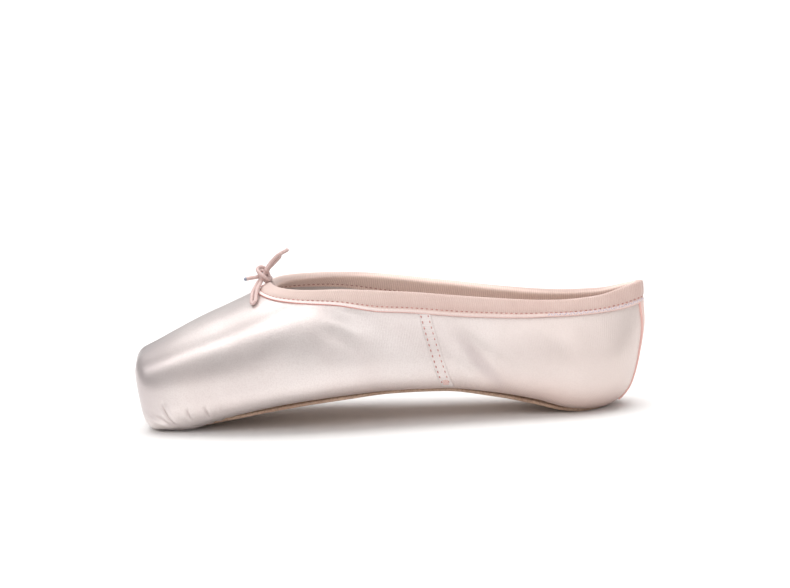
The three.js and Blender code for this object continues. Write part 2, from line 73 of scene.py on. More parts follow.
towards = Vector((
    math.sin(AZIMUTH) * math.cos(ELEVATION),
    -math.cos(AZIMUTH) * math.cos(ELEVATION),
    math.sin(ELEVATION),
))
level = Vector((math.cos(AZIMUTH), math.sin(AZIMUTH), 0.0))
upright = towards.cross(level)
right = level * math.cos(ROLL) - upright * math.sin(ROLL)
top = level * math.sin(ROLL) + upright * math.cos(ROLL)
place = AIM + towards * DISTANCE
place -= right * (AIM_FROM_CENTRE[0] / PIXELS_PER_METRE)
place -= top * (AIM_FROM_CENTRE[1] / PIXELS_PER_METRE)

bpy.ops.object.camera_add()
camera = bpy.context.object
camera.name = "camera"
camera.data.sensor_width = SENSOR
camera.data.lens = PIXELS_PER_METRE * DISTANCE / IMAGE_WIDTH * SENSOR
camera.matrix_world = Matrix((right, top, towards)).transposed().to_4x4()
camera.location = place
bpy.context.scene.camera = camera
print("camera lens", round(camera.data.lens, 1), "mm, at", [round(x, 3) for x in place])

# %% [markdown]
# A shoe is pulled over a last, a solid foot form. Its tables give the last from toe to heel, in
# millimetres, with along measured back from the toe, exactly as in the CAD model. They are read on a
# smooth curve that doesn't overshoot, because a bump between two rows would show at once as a wobble in
# the satin's shine. Sculpting would be quicker, but then the shell wouldn't lie on the CAD skin.

# %% The last in numbers
LENGTH = 240.0
PLATFORM_TOP, PLATFORM_LEAN, PLATFORM_ROUND, LEAN_REACH = 27.0, 0.14, 13.0, 70.0
TOE_SQUARENESS, SIDE_SQUARENESS, DOME_SQUARENESS, DRAW_POWER = 4.0, 3.1, 2.35, 1.5
UPPER_CORNER, LOWER_CORNER = 6.5, 7.0
SECTIONS = {
    "along": (0, 12, 22, 34, 48, 66, 84, 102, 122, 146, 168, 188, 204, 214, 240),
    "bottom": (-0.4, -0.6, -0.3, 2.6, 6, 9.5, 11.9, 13.4, 14.3, 13.8, 10.8, 6.1, 0.7, -0.5, -0.5),
    "widest": (15.5, 17.5, 19, 20.5, 22.5, 25, 27, 29, 30.5, 30.5, 29, 26.5, 24.5, 24, 24),
    "crown": (35.6, 40.8, 45.6, 51, 56.7, 65, 74.5, 81, 85, 84, 76, 69, 65.5, 64.5, 64),
    "half": (21.5, 26.2, 29.2, 32.2, 35, 37.2, 37.4, 36, 33, 30, 28, 26.6, 25.6, 25.2, 25),
    "drawn": (0, 0, 0, 0, 0, 0, 0.14, 0.34, 0.54, 0.78, 0.75, 0.6, 0.37, 0.24, 0.1),
}
HEEL_ROWS = {
    "height": (0, 4.5, 11, 25, 41, 60, 76),
    "back": (221, 227.8, 232.5, 236.8, 239.5, 239.1, 238.4),
    "depth": (24, 27, 30, 34, 48, 64, 66),
    "power": (2.2, 2.2, 2.2, 2.1, 1.8, 1.6, 1.6),
    "root": (0.5, 0.5, 0.5, 0.52, 0.64, 0.75, 0.78),
}


def read(table, key, column, at):
    """A column of a table between its rows, on a smooth curve that doesn't overshoot."""
    rows = np.asarray(table[key], float)
    values = np.asarray(table[column], float)
    slopes = np.diff(values) / np.diff(rows)
    both = slopes[:-1] * slopes[1:]
    total = np.where(both > 0, slopes[:-1] + slopes[1:], 1)
    tangents = np.concatenate([slopes[:1], np.where(both > 0, 2 * both / total, 0), slopes[-1:]])
    spot = np.clip(at, rows[0], rows[-1])
    i = np.clip(np.searchsorted(rows, spot) - 1, 0, len(rows) - 2)
    span = rows[i + 1] - rows[i]
    u = (spot - rows[i]) / span
    rise = u * u * (3 - 2 * u)
    leaving = (u**3 - 2 * u**2 + u) * span * tangents[i]
    arriving = (u**3 - u**2) * span * tangents[i + 1]
    return values[i] + (values[i + 1] - values[i]) * rise + leaving + arriving


def section(column, along):
    return read(SECTIONS, "along", column, along)


def heel(column, height):
    return read(HEEL_ROWS, "height", column, height)


def corner_drop(distance, radius):
    """The drop of a rounded corner, a distance in from the face it rounds into."""
    missing = np.clip(radius - distance, 0, radius)
    return radius - np.sqrt(radius**2 - missing**2)


def last_half_width(x, z):
    """Half the width of the last at a place in its side view, and 0 outside that view."""
    along = x - PLATFORM_LEAN * (PLATFORM_TOP - z) * np.clip(1 - x / LEAN_REACH, 0, 1)
    back = heel("back", z)
    crown = section("crown", along) - corner_drop(along, UPPER_CORNER)
    bottom = section("bottom", along) + corner_drop(along, LOWER_CORNER)
    widest = section("widest", along)
    below = z < widest
    rise = np.where(below, (widest - z) / (widest - bottom), (z - widest) / (crown - widest))
    power = np.where(below, SIDE_SQUARENESS, DOME_SQUARENESS)
    wall = (1 - np.clip(rise, 0, 1) ** power) ** (1 / power)
    wall *= 1 - np.where(below, 0, section("drawn", along)) * np.clip(rise, 0, 1) ** DRAW_POWER
    toe = np.clip(1 - along / PLATFORM_ROUND, 0, 1)
    toe_round = (1 - toe**TOE_SQUARENESS) ** (1 / TOE_SQUARENESS)
    depth = heel("depth", z)
    rear = np.clip((x - back + depth) / depth, 0, 1)
    heel_round = (1 - rear ** heel("power", z)) ** heel("root", z)
    inside = (along > 0) & (x < back) & (z > bottom) & (z < crown)
    return np.where(inside, section("half", along) * wall * toe_round * heel_round, 0)


print("ball half width", round(float(last_half_width(84.0, 27.0)), 2), "mm")

# %% [markdown]
# Three lines run round the shoe from the toe's middle to the heel's: the edge of the opening that the
# sole closes, the widest line, and the collar. They could be cut from the finished skin, but the skin is
# made from them, as a last maker starts from a few measured girths.

# %% Rails round the last
COLLAR_ROWS = {
    "along": (67, 80, 98, 127, 146, 174, 192, 205, 218, 233, 241),
    "height": (66.5, 65.7, 65.2, 62.4, 59.8, 56, 54.1, 53.5, 54, 57.1, 59.2),
}
SOLE_ROWS = {
    "along": (22, 34, 52, 74, 94, 118, 145, 170, 190, 204, 222),
    "half": (15, 17.5, 21.5, 24, 22.5, 16.5, 13.5, 15, 17, 16.5, 14),
    "proud": (0, 0.8, 2, 2.4, 2.3, 2, 1.9, 2.4, 2.5, 1.4, 0.4),
}
SOLE_TIP, SOLE_BACK, SOLE_END_DEPTH, LASTING_MARGIN = 21.0, 221.0, 14.0, 5.0
GAP, BINDING_CLOTH = 0.32, 0.8
RAIL_STEPS = 240


def run_length(points):
    """Distance covered along each polyline of an array of them."""
    steps = np.linalg.norm(np.diff(points, axis=-2), axis=-1)
    start = np.zeros(steps.shape[:-1] + (1,))
    return np.concatenate([start, np.cumsum(steps, axis=-1)], axis=-1)


def along_line(points, reach, distance):
    return np.stack([np.interp(distance, reach, points[:, k]) for k in range(3)], axis=-1)


def rail(point_at):
    """A line round half the shoe, read by its share of length."""
    points = point_at((1 - np.cos(np.linspace(0, math.pi, RAIL_STEPS + 1))) / 2)
    reach = run_length(points)
    return lambda share: along_line(points, reach, share * reach[-1])


def opening_points(share):
    first, last = SOLE_TIP + LASTING_MARGIN, SOLE_BACK - LASTING_MARGIN
    x = first + (last - first) * share
    front = np.clip(1 - (x - first) / SOLE_END_DEPTH, 0, 1)
    rear = np.clip(1 - (last - x) / SOLE_END_DEPTH, 0, 1)
    half = read(SOLE_ROWS, "along", "half", x) - LASTING_MARGIN
    return np.stack([x, -half * np.sqrt((1 - front**2) * (1 - rear**2)), 0 * x], axis=-1)


def widest_points(share):
    first = PLATFORM_LEAN * (PLATFORM_TOP - SECTIONS["widest"][0])
    x = first + (heel("back", 24) - 0.01 - first) * share
    z = section("widest", x)
    return np.stack([x, -last_half_width(x, z), z], axis=-1)


def edge_height(along):
    return read(COLLAR_ROWS, "along", "height", along) - BINDING_CLOTH - GAP


def throat_along():
    ahead, behind = 40.0, 100.0
    for _ in range(40):
        middle = (ahead + behind) / 2
        if section("crown", middle) < edge_height(middle):
            ahead = middle
        else:
            behind = middle
    return ahead


THROAT = throat_along()
HEEL_TOP = float(heel("back", edge_height(LENGTH)))


def collar_points(share):
    x = THROAT + (HEEL_TOP - THROAT) * share
    z = edge_height(x)
    return np.stack([x, -last_half_width(x, z), z], axis=-1)


opening_rail, widest_rail, collar_rail = rail(opening_points), rail(widest_points), rail(collar_points)
print("throat", round(THROAT, 1), "mm and heel top", round(HEEL_TOP, 1), "mm back from the toe")

# %% [markdown]
# The satin is one skin round the last, so it is described as paths: each starts at the opening, goes out
# round the widest line and ends at the collar. A ring of paths covers the whole upper, with its columns
# closer together round the toe, where the pleats are. Any piece of the shoe can then be placed by a
# column of the ring and a distance up its path, as a shoemaker measures with a tape.

# %% Paths over the skin
COLUMN_ROWS = {
    "column": (0, 0.14, 0.3, 0.5, 0.72, 0.9, 1),
    "opening": (0, 0.06, 0.17, 0.36, 0.62, 0.86, 1),
    "widest": (0, 0.075, 0.2, 0.38, 0.62, 0.86, 1),
    "collar": (0, 0.045, 0.1, 0.22, 0.54, 0.86, 1),
}
BINDING_ROWS = {
    "along": (66, 84, 98, 122, 158, 186, 205, 218, 232, 241),
    "width": (7.2, 6.9, 7.2, 9.5, 9.4, 8.4, 7.6, 7.8, 9, 9),
}
HUB_ROWS = {"along": (46, 120, 206), "height": (24, 36, 26)}
TOE_COLUMNS, REAR_COLUMNS, TOE_SHARE, PATH_STEPS = 100, 110, 0.3, 240
PAST_THE_SKIN = 400


def on_last(hub, target):
    """Where the rays from hubs inside the last through their targets leave the last."""
    ray = target - hub
    inside = np.zeros(ray.shape[:-1])
    outside = PAST_THE_SKIN / np.linalg.norm(ray, axis=-1)
    for _ in range(34):
        middle = (inside + outside) / 2
        p = hub + ray * middle[..., None]
        within = np.abs(p[..., 1]) < last_half_width(p[..., 0], p[..., 2])
        inside = np.where(within, middle, inside)
        outside = np.where(within, outside, middle)
    return hub + ray * inside[..., None]


def skin_paths(shares):
    """Paths up the near side, one for each share of the way from the toe's middle to the heel's."""
    start = opening_rail(read(COLUMN_ROWS, "column", "opening", shares))
    start[:, 2] = section("bottom", start[:, 0]) - 1
    middle = widest_rail(read(COLUMN_ROWS, "column", "widest", shares))
    end = collar_rail(read(COLUMN_ROWS, "column", "collar", shares))
    bend = 2 * middle - 0.5 * start - 0.5 * end
    t = np.linspace(0, 1, PATH_STEPS + 1)[None, :, None]
    target = (1 - t) ** 2 * start[:, None] + 2 * t * (1 - t) * bend[:, None] + t**2 * end[:, None]
    target[[0, -1], :, 1] = 0
    x = np.clip(target[..., 0], HUB_ROWS["along"][0], HUB_ROWS["along"][-1])
    hub = np.stack([x, 0 * x, read(HUB_ROWS, "along", "height", x)], axis=-1)
    points = on_last(hub, target)
    points[:, -1] = end
    return points


toe_shares = np.linspace(0, TOE_SHARE, TOE_COLUMNS + 1)[:-1]
SHARES = np.append(toe_shares, np.linspace(TOE_SHARE, 1, REAR_COLUMNS + 1))
HALF_COLUMNS = len(SHARES) - 1
PATHS = skin_paths(SHARES)
REACH = run_length(PATHS)
TOTAL = REACH[:, -1]
TAPE = read(BINDING_ROWS, "along", "width", PATHS[:, -1, 0])
print("paths:", PATHS.shape, "from", round(TOTAL.min(), 1), "to", round(TOTAL.max(), 1), "mm long")

# %% [markdown]
# Pieces are measured on the skin: it is read at given distances up every path, mirrored to the far side,
# and its outward direction comes with it, so that a piece can stand proud of the skin or lie inside it.
# Snapping to a mesh would do this too, but only as finely as that mesh.

# %% Reading the skin
NORMAL_STEP = 0.6


def mirrored(near, turn=(1, -1, 1)):
    """The near half of the ring and then the far half, back to the column next to the first."""
    return np.concatenate([near, near[-2:0:-1] * np.array(turn)])


def skin_points(distance):
    near = np.stack([along_line(PATHS[c], REACH[c], distance[c]) for c in range(HALF_COLUMNS + 1)])
    near[..., 2] = np.maximum(near[..., 2], 0)
    return mirrored(near)


def skin(distance):
    """Points and outward normals of the whole ring, at distances (near columns, rows) up the paths."""
    points = skin_points(distance)
    up = skin_points(np.minimum(distance + NORMAL_STEP, TOTAL[:, None]))
    up = up - skin_points(np.maximum(distance - NORMAL_STEP, 0))
    around = np.roll(points, -1, axis=0) - np.roll(points, 1, axis=0)
    normal = np.cross(around, up)
    return points, normal / np.linalg.norm(normal, axis=-1, keepdims=True)


def from_opening(*distances):
    return np.tile(np.asarray(distances, float), (HALF_COLUMNS + 1, 1))


def from_collar(*drops):
    """Distances up the paths to drops below the collar, given as shares of the binding's width."""
    return TOTAL[:, None] - TAPE[:, None] * np.asarray(drops, float)[None, :]


def closed(ring):
    """A ring with its first column again at the end."""
    return np.concatenate([ring, ring[:1]])


print("ring of", 2 * HALF_COLUMNS, "columns")

# %% [markdown]
# A piece is modelled from a grid primitive: each corner of the grid is carried to its place, the doubles
# are merged where the grid meets itself, open ends are filled, and the faces are turned outwards. The
# grid's own map becomes a cloth map, in metres, and a finished piece gets its finishes and its body.

# %% Laying a grid
MM = 0.001


def metres(points):
    return (np.asarray(points, float) - np.array([LENGTH / 2, 0, 0])) * MM


def close_shell(piece, fill=False):
    """Merges doubles, fills open ends where asked, and turns the faces outwards."""
    bpy.ops.object.mode_set(mode="EDIT")
    bpy.ops.mesh.select_all(action="SELECT")
    bpy.ops.mesh.remove_doubles(threshold=1e-7)
    if fill:
        bpy.ops.mesh.fill_holes(sides=0)
        bpy.ops.mesh.select_all(action="SELECT")
    bpy.ops.mesh.normals_make_consistent(inside=False)
    bpy.ops.object.mode_set(mode="OBJECT")
    bpy.ops.object.shade_smooth()


def laid_grid(name, points, cloth, slots=None, fill=False, hollow=None):
    """A grid primitive carried to points (columns, rows, 3) in millimetres, with its cloth map in metres."""
    columns, rows = points.shape[0] - 1, points.shape[1] - 1
    bpy.ops.object.select_all(action="DESELECT")
    bpy.ops.mesh.primitive_grid_add(x_subdivisions=columns, y_subdivisions=rows, size=1)
    piece = bpy.context.object
    piece.name = piece.data.name = name
    mesh = piece.data
    net = np.empty(3 * len(mesh.vertices))
    mesh.vertices.foreach_get("co", net)
    column = np.rint((net[0::3] + 0.5) * columns).astype(int)
    row = np.rint((net[1::3] + 0.5) * rows).astype(int)
    mesh.vertices.foreach_set("co", metres(points[column, row]).ravel())
    corner = np.empty(len(mesh.loops), int)
    mesh.loops.foreach_get("vertex_index", corner)
    mesh.uv_layers.active.uv.foreach_set("vector", (cloth[column, row] * MM)[corner].ravel())
    if slots is not None:
        first = row[corner].reshape(-1, 4).min(axis=1)
        mesh.polygons.foreach_set("material_index", np.asarray(slots, np.int32)[first])
    if hollow is not None:
        depth = mesh.attributes.new("hollow", "FLOAT", "POINT").data
        depth.foreach_set("value", hollow[column, row].ravel())
    close_shell(piece, fill)
    return piece


def dress(piece, slot, *materials):
    """Gives a piece its finishes and the body that it rides on; the slot is not used."""
    piece.data.materials.clear()
    for material in materials:
        piece.data.materials.append(material)
    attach(piece, BODY)
    faces = len(piece.data.polygons)
    print(f"{piece.name}: {faces} faces, {', '.join(m.name for m in materials)}")
    return piece


print("metres from millimetres:", metres((LENGTH, 0, 0)))

# %% [markdown]
# Finishes are built from nodes, so a small set of helpers keeps each one short: a new material with its
# shader, a node with its settings, a link, and the cloth map split into its two directions. Distances in
# the cloth map are metres, so a rib of half a millimetre is written as half a millimetre.

# %% Helpers for finishes


class Finish:
    """A material under construction, with its nodes by plain calls."""

    def __init__(self, name, **shader):
        self.material = bpy.data.materials.new(name)
        self.material.use_nodes = True
        self.tree = self.material.node_tree
        self.shader = self.tree.nodes["Principled BSDF"]
        for socket, value in shader.items():
            self.shader.inputs[socket.replace("_", " ")].default_value = value

    def node(self, kind, **inputs):
        """A node with inputs set by name, or by place as i0, i1 and so on."""
        made = self.tree.nodes.new(kind)
        for key, value in inputs.items():
            self.feed(made.inputs[int(key[1:]) if key[1:].isdigit() else key.replace("_", " ")], value)
        return made

    def feed(self, socket, value):
        if isinstance(value, bpy.types.NodeSocket):
            self.tree.links.new(value, socket)
        else:
            socket.default_value = value

    def math(self, operation, a, b=0.0, c=0.0):
        made = self.node("ShaderNodeMath", i0=a, i1=b, i2=c)
        made.operation = operation
        return made.outputs[0]

    def object_place(self):
        return self.node("ShaderNodeTexCoord").outputs["Object"]

    def along(self):
        return self.node("ShaderNodeSeparateXYZ", Vector=self.object_place()).outputs[0]

    def cloth_map(self):
        split = self.node("ShaderNodeSeparateXYZ", Vector=self.node("ShaderNodeTexCoord").outputs["UV"])
        return split.outputs[0], split.outputs[1]

    def noise(self, scale, detail=2.0, vector=None, roughness=0.5):
        made = self.node("ShaderNodeTexNoise", Scale=scale, Detail=detail, Roughness=roughness)
        self.feed(made.inputs["Vector"], vector or self.object_place())
        return made.outputs["Fac"]

    def ribs(self, distance, pitch):
        """A wave from 0 to 1 with one crest for each pitch."""
        turn = self.math("SINE", self.math("MULTIPLY", distance, 2 * math.pi / pitch))
        return self.math("MULTIPLY_ADD", turn, 0.5, 0.5)

    def spread(self, value, low, high, to_low=0.0, to_high=1.0):
        made = self.node("ShaderNodeMapRange", Value=value)
        made.interpolation_type = "SMOOTHSTEP"
        for key, number in zip((1, 2, 3, 4), (low, high, to_low, to_high)):
            made.inputs[key].default_value = number
        return made.outputs[0]

    def blend(self, share, first, second):
        made = self.tree.nodes.new("ShaderNodeMix")
        made.data_type = "RGBA"
        self.feed(made.inputs[0], share)
        self.feed(made.inputs[6], first)
        self.feed(made.inputs[7], second)
        return made.outputs[2]

    def bump(self, height, depth, strength=1.0, over=None):
        made = self.node("ShaderNodeBump", Height=height, Strength=strength, Distance=depth)
        if over is not None:
            self.feed(made.inputs["Normal"], over)
        return made.outputs[0]

    def wear(self, socket, value):
        self.feed(self.shader.inputs[socket], value)


def tone(red, green, blue):
    """A colour as seen on screen, from 0 to 255, as the shader wants it."""
    seen = np.array([red, green, blue]) / 255
    light = np.where(seen <= 0.04045, seen / 12.92, ((seen + 0.055) / 1.055) ** 2.4)
    return (*light.tolist(), 1.0)


print("finishes are ready to be mixed")

# %% [markdown]
# The drawstring is the one loose cord: a narrow braided string that comes out of the binding's casing at
# the throat and is tied there in a half bow, with one small loop lying on the near side of the vamp, a
# short end with a sealed grey tip to the left, and a longer end standing up to the right. It is one
# string, so it is one route through the knot, laid as a tube. A curve with a bevel would do as well, but
# a mesh tube can carry a cloth map for the braid.

# %% Drawstring route
CORD = 1.8
knot_low, knot_high = (Vector(corner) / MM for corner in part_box("drawstring_knot"))
KNOT = np.array((knot_low + knot_high) / 2) + np.array([LENGTH / 2, 0, 0])
OVER_BINDING = GAP + BINDING_CLOTH + GAP

# Steps from the knot's middle: along, across (towards the far side) and up, in millimetres.
SHORT_END = [(-9.5, -2.0, -1.1), (-6.3, -1.3, -0.7), (-3.4, -0.4, -0.5)]
TURN = [
    (-1.0, 0.9, -0.3), (1.3, 1.8, -0.5), (3.0, 0.7, -1.3), (2.7, -1.6, -2.0), (1.2, -2.8, -0.8),
    (-0.8, -2.9, 0.9), (-2.4, -1.8, 2.4), (-2.8, 0.2, 3.3), (-1.5, 1.9, 3.9), (0.4, 2.5, 2.9),
    (1.8, 2.0, 0.6), (2.2, 0.8, -1.6), (1.6, -0.9, -2.9), (0.0, -1.7, -1.5), (-1.7, -1.2, 0.2),
    (-2.0, 0.3, 1.5), (-1.0, 1.1, 2.2), (0.3, 0.6, 1.0),
]
THROUGH = [(-0.9, -1.2, -0.7), (0.4, -0.3, 0.7), (1.6, 0.2, 2.0)]
LEAF = [
    (2.8, 0.1, 3.7), (4.6, 0.0, 5.3), (6.5, -0.1, 7.1), (7.9, -0.3, 8.5), (8.1, 0.2, 9.2), (7.3, 0.9, 9.2),
    (5.4, 0.9, 7.8), (3.4, 0.9, 5.8), (2.0, 0.8, 4.0), (1.2, 0.1, 2.7),
]
LONG_END = [(1.5, -1.2, 2.8), (2.7, -1.3, 4.6), (5.2, -1.5, 7.7), (8.0, -1.7, 9.9), (12.8, -2.0, 12.3)]

# Places on the vamp: across, along and the height over the skin.
LOOP_ROWS = [
    (3.4, 62.6, OVER_BINDING + 1.0), (7.5, 61.7, OVER_BINDING + 0.4), (11.5, 61.0, OVER_BINDING + 0.15),
    (15.0, 60.6, GAP + 0.6), (18.2, 60.4, GAP + 0.1),
]
LOOP_TIP = (19.6, 60.3, GAP + 0.1)
LOOP_SPREAD = 0.98


def crown_height(x, y):
    low, high = section("widest", x), section("crown", x)
    for _ in range(40):
        middle = (low + high) / 2
        wide = last_half_width(x, middle) > np.abs(y)
        low, high = np.where(wide, middle, low), np.where(wide, high, middle)
    return low


def on_crown(x, y, over=0.0):
    """A place on top of the last, lifted off it along its normal."""
    step = 0.3
    run = (crown_height(x + step, y) - crown_height(x - step, y)) / (2 * step)
    rise = (crown_height(x, y + step) - crown_height(x, y - step)) / (2 * step)
    normal = np.array([-run, -rise, 1.0])
    return np.array([x, y, crown_height(x, y)]) + over * normal / np.linalg.norm(normal)


def loop_strand(side):
    return [on_crown(x + side * LOOP_SPREAD, -across, over + CORD / 2) for across, x, over in LOOP_ROWS]


loop_tip = on_crown(LOOP_TIP[1], -LOOP_TIP[0], LOOP_TIP[2] + CORD / 2)
ROUTE = [KNOT + step for step in map(np.array, SHORT_END + TURN)]
ROUTE += loop_strand(1) + [loop_tip] + loop_strand(-1)[::-1]
ROUTE += [KNOT + step for step in map(np.array, THROUGH + LEAF + LONG_END)]
print("drawstring route:", len(ROUTE), "points round the knot at", KNOT.round(1))

# %% [markdown]
# The tube follows a smooth curve through the route. A frame is carried along it from station to station
# without twisting, so that the braid runs on evenly. Both ends are rounded over, as a heat-sealed end is.

# %% Drawstring
CORD_SIDES = 12
CORD_STATION = 0.45
STEPS_BETWEEN = 24
PLAIT_PITCH = 0.0009


def smooth_line(points, spacing):
    """A smooth curve through points, with stations a spacing apart."""
    p = np.array([2 * points[0] - points[1], *points, 2 * points[-1] - points[-2]])
    t = np.linspace(0, 1, STEPS_BETWEEN, endpoint=False)[:, None]
    pieces = []
    for a, b, c, d in zip(p[:-3], p[1:-2], p[2:-1], p[3:]):
        pieces.append(0.5 * (2 * b + (c - a) * t + (2 * a - 5 * b + 4 * c - d) * t**2
                             + (3 * b - a - 3 * c + d) * t**3))
    line = np.concatenate(pieces + [p[-2:-1]])
    reach = run_length(line)
    return along_line(line, reach, np.linspace(0, reach[-1], int(round(reach[-1] / spacing)) + 1))


def carried_frames(line):
    """Two directions across a line at each station, turned as little as possible from one to the next."""
    ahead = np.gradient(line, axis=0)
    ahead /= np.linalg.norm(ahead, axis=1, keepdims=True)
    side = np.cross(ahead[0], [0.0, 0.0, 1.0])
    sides = []
    for direction in ahead:
        side = side - direction * np.dot(side, direction)
        side /= np.linalg.norm(side)
        sides.append(side)
    sides = np.array(sides)
    return sides, np.cross(ahead, sides)


def tube(name, line, radius):
    """A closed tube along a line, with a radius for each station."""
    side, other = carried_frames(line)
    angle = np.linspace(0, 2 * math.pi, CORD_SIDES + 1)
    around = side[:, None] * np.cos(angle)[None, :, None] + other[:, None] * np.sin(angle)[None, :, None]
    points = line[:, None] + around * radius[:, None, None]
    cloth = np.stack(np.broadcast_arrays(run_length(line)[:, None], angle[None] * radius.max()), axis=-1)
    return laid_grid(name, points, cloth)


drawstring_line = smooth_line(ROUTE, CORD_STATION)
drawstring_reach = run_length(drawstring_line)
from_end = np.minimum(drawstring_reach, drawstring_reach[-1] - drawstring_reach)
drawstring_radius = CORD / 2 * np.sqrt(1 - np.clip(1 - from_end / (CORD / 2), 0, 1) ** 2)
drawstring = tube("drawstring", drawstring_line, drawstring_radius)


def braid_finish():
    finish = Finish("braided_string", Roughness=0.42, Sheen_Weight=0.2, Sheen_Roughness=0.5)
    run, round_it = finish.cloth_map()
    left = finish.ribs(finish.math("ADD", run, round_it), PLAIT_PITCH)
    right = finish.ribs(finish.math("SUBTRACT", run, round_it), PLAIT_PITCH)
    plait = finish.math("MULTIPLY", left, right)
    cloth = finish.blend(finish.spread(plait, 0.0, 0.6), tone(204, 164, 157), tone(240, 222, 218))
    patches = finish.spread(finish.noise(700.0), 0.35, 0.65)
    cloth = finish.blend(finish.math("MULTIPLY", patches, 0.35), cloth, tone(234, 212, 207))
    sealed = finish.spread(run, 0.0012, 0.0017, 1.0, 0.0)
    finish.wear("Base Color", finish.blend(sealed, cloth, tone(150, 156, 176)))
    finish.wear("Normal", finish.bump(plait, 0.00018))
    return finish.material


dress(drawstring, "cord", braid_finish())
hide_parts("drawstring_knot", "drawstring_loop", "drawstring_end_short", "drawstring_end_long")

# %% [markdown]
# The satin upper is pulled tight over the stiff box at the toe and hangs softer behind the side seam.
# What makes it cloth is put on as soft troughs and ridges. Each fold is a line on the skin with a
# width and a depth, raised lips on both sides and, in a pleat, one side lapped over the other. It fades
# out at its ends. Cloth simulation would give other folds than this shoe has.

# %% One fold of the satin
SIDE_STEP = 0.2
LIPS_APART, LIPS_WIDTH = 1.9, 0.8
END_SHARE, END_POWER = 0.02, 0.7


def off_side(x, z, side, stand=0.0):
    """A place on the side of the last, off it along its normal."""
    above, under = last_half_width(x, z + SIDE_STEP), last_half_width(x, z - SIDE_STEP)
    behind, ahead = last_half_width(x + SIDE_STEP, z), last_half_width(x - SIDE_STEP, z)
    normal = np.array([(ahead - behind) / (2 * SIDE_STEP), side, (under - above) / (2 * SIDE_STEP)])
    return np.array([x, side * last_half_width(x, z), z]) + stand * normal / np.linalg.norm(normal)


def at_foot(share, distance, side):
    """A place on the skin by its column's share from toe to heel and its distance from the sole opening."""
    column = int(np.argmin(np.abs(SHARES - share)))
    spot = along_line(PATHS[column], REACH[column], np.array(distance))
    return spot * np.array([1, -side, 1])


def fold_height(points, normal, line, width, depth, lip=0.35, lap=0.0):
    """The relief of one fold: a trough with raised lips, and a step where one side laps over the other."""
    best = np.full(points.shape[:-1], 1e9)
    run = np.zeros_like(best)
    turn = np.zeros_like(best)
    reach = run_length(np.array(line))
    for a, b, start in zip(line[:-1], line[1:], reach):
        span = b - a
        length = np.linalg.norm(span)
        share = np.clip((points - a) @ span / length**2, 0, 1)
        away = points - (a + share[..., None] * span)
        distance = np.linalg.norm(away, axis=-1)
        nearer = distance < best
        sign = np.sign(np.einsum("...k,...k", np.cross(span, away), normal))
        best = np.where(nearer, distance, best)
        turn = np.where(nearer, sign, turn)
        run = np.where(nearer, (start + share * length) / reach[-1], run)
    across = turn * best / width
    fade = np.sin(math.pi * np.clip(run, END_SHARE, 1 - END_SHARE)) ** END_POWER
    trough = -np.exp(-(across**2))
    lips = np.exp(-((np.abs(across) - LIPS_APART) ** 2) / LIPS_WIDTH)
    step = across * np.exp(-(across**2) / 2)
    return depth * fade * (trough + lip * lips + lap * step)


NEAR, FAR = -1, 1
print("side of the ball at", off_side(84.0, 27.0, NEAR).round(1), "mm")

# %% [markdown]
# The folds follow the photograph: slack ones run down the quarter behind the side seam, a ridge and a
# trough cross the vamp where the stiff box ends, a few sharp creases climb from the sole at the toe, and
# the pleats gather under it. They are rows of along and height, so a fold can be moved by changing two
# numbers. A depth below 0 makes a ridge.

# %% Folds of the satin
QUARTER_FOLDS = [
    ([(151.0, 44.5), (157.9, 35.9), (164.0, 28.7), (171.2, 19.5), (175.0, 13.0)], 4.2, 1.0),
    ([(164.0, 42.0), (173.0, 32.0), (182.0, 20.0)], 6.5, -0.4),
    ([(150.0, 38.0), (154.5, 30.0), (160.0, 19.0)], 4.5, -0.45),
    ([(207.0, 43.0), (206.3, 31.0), (205.6, 16.0)], 5.0, -0.35),
    ([(195.0, 42.0), (195.0, 30.0), (196.0, 14.0)], 7.0, 0.2),
    ([(217.0, 42.0), (218.0, 30.0), (216.0, 16.0)], 6.0, 0.25),
]
VAMP_FOLDS = [
    ([(92.0, 52.4), (98.5, 50.4), (102.7, 48.0), (107.2, 45.2), (112.0, 42.0)], 3.2, -0.28),
    ([(98.0, 58.0), (107.0, 54.6), (115.0, 50.0), (122.0, 44.0)], 4.6, 0.34),
    ([(98.0, 46.0), (108.0, 42.0), (118.0, 36.0)], 6.0, 0.3),
    ([(128.0, 48.0), (132.0, 39.0), (138.0, 28.0)], 7.0, 0.25),
]
TOE_CREASES = [
    ([(14.4, 16.0), (15.0, 13.3), (16.0, 10.7), (17.3, 7.9), (20.5, 4.1)], 0.9, 1.1),
    ([(26.5, 13.2), (27.2, 9.1), (27.9, 7.2)], 0.8, 0.9),
    ([(35.2, 14.2), (36.1, 10.6), (36.7, 8.3)], 0.75, 0.8),
    ([(42.3, 14.4), (43.2, 12.0), (44.0, 10.4)], 0.7, 0.45),
    ([(6.5, 10.0), (9.5, 7.4), (13.0, 5.6), (18.8, 2.7)], 1.2, -0.8),
]
PLEAT_SHARES = (0.0, 0.035, 0.062, 0.094, 0.118, 0.15, 0.176, 0.205, 0.232, 0.262)
PLEAT_TOPS = (13.0, 17.0, 14.5, 19.0, 15.0, 18.0, 14.0, 15.5, 12.0, 11.0)
PLEAT_DEPTHS = (0.5, 0.75, 0.6, 0.9, 0.65, 0.8, 0.6, 0.7, 0.5, 0.4)
PLEAT_LEAN = 0.012
PLEAT_WIDTH = 1.25
PLEAT_FOOT, PLEAT_BEND = 4.0, 0.6
PLEAT_LIP, PLEAT_LAP = 0.6, -0.9
CREASE_LIP, CREASE_LAP = 0.5, -0.8
FAR_SHARE = 0.8


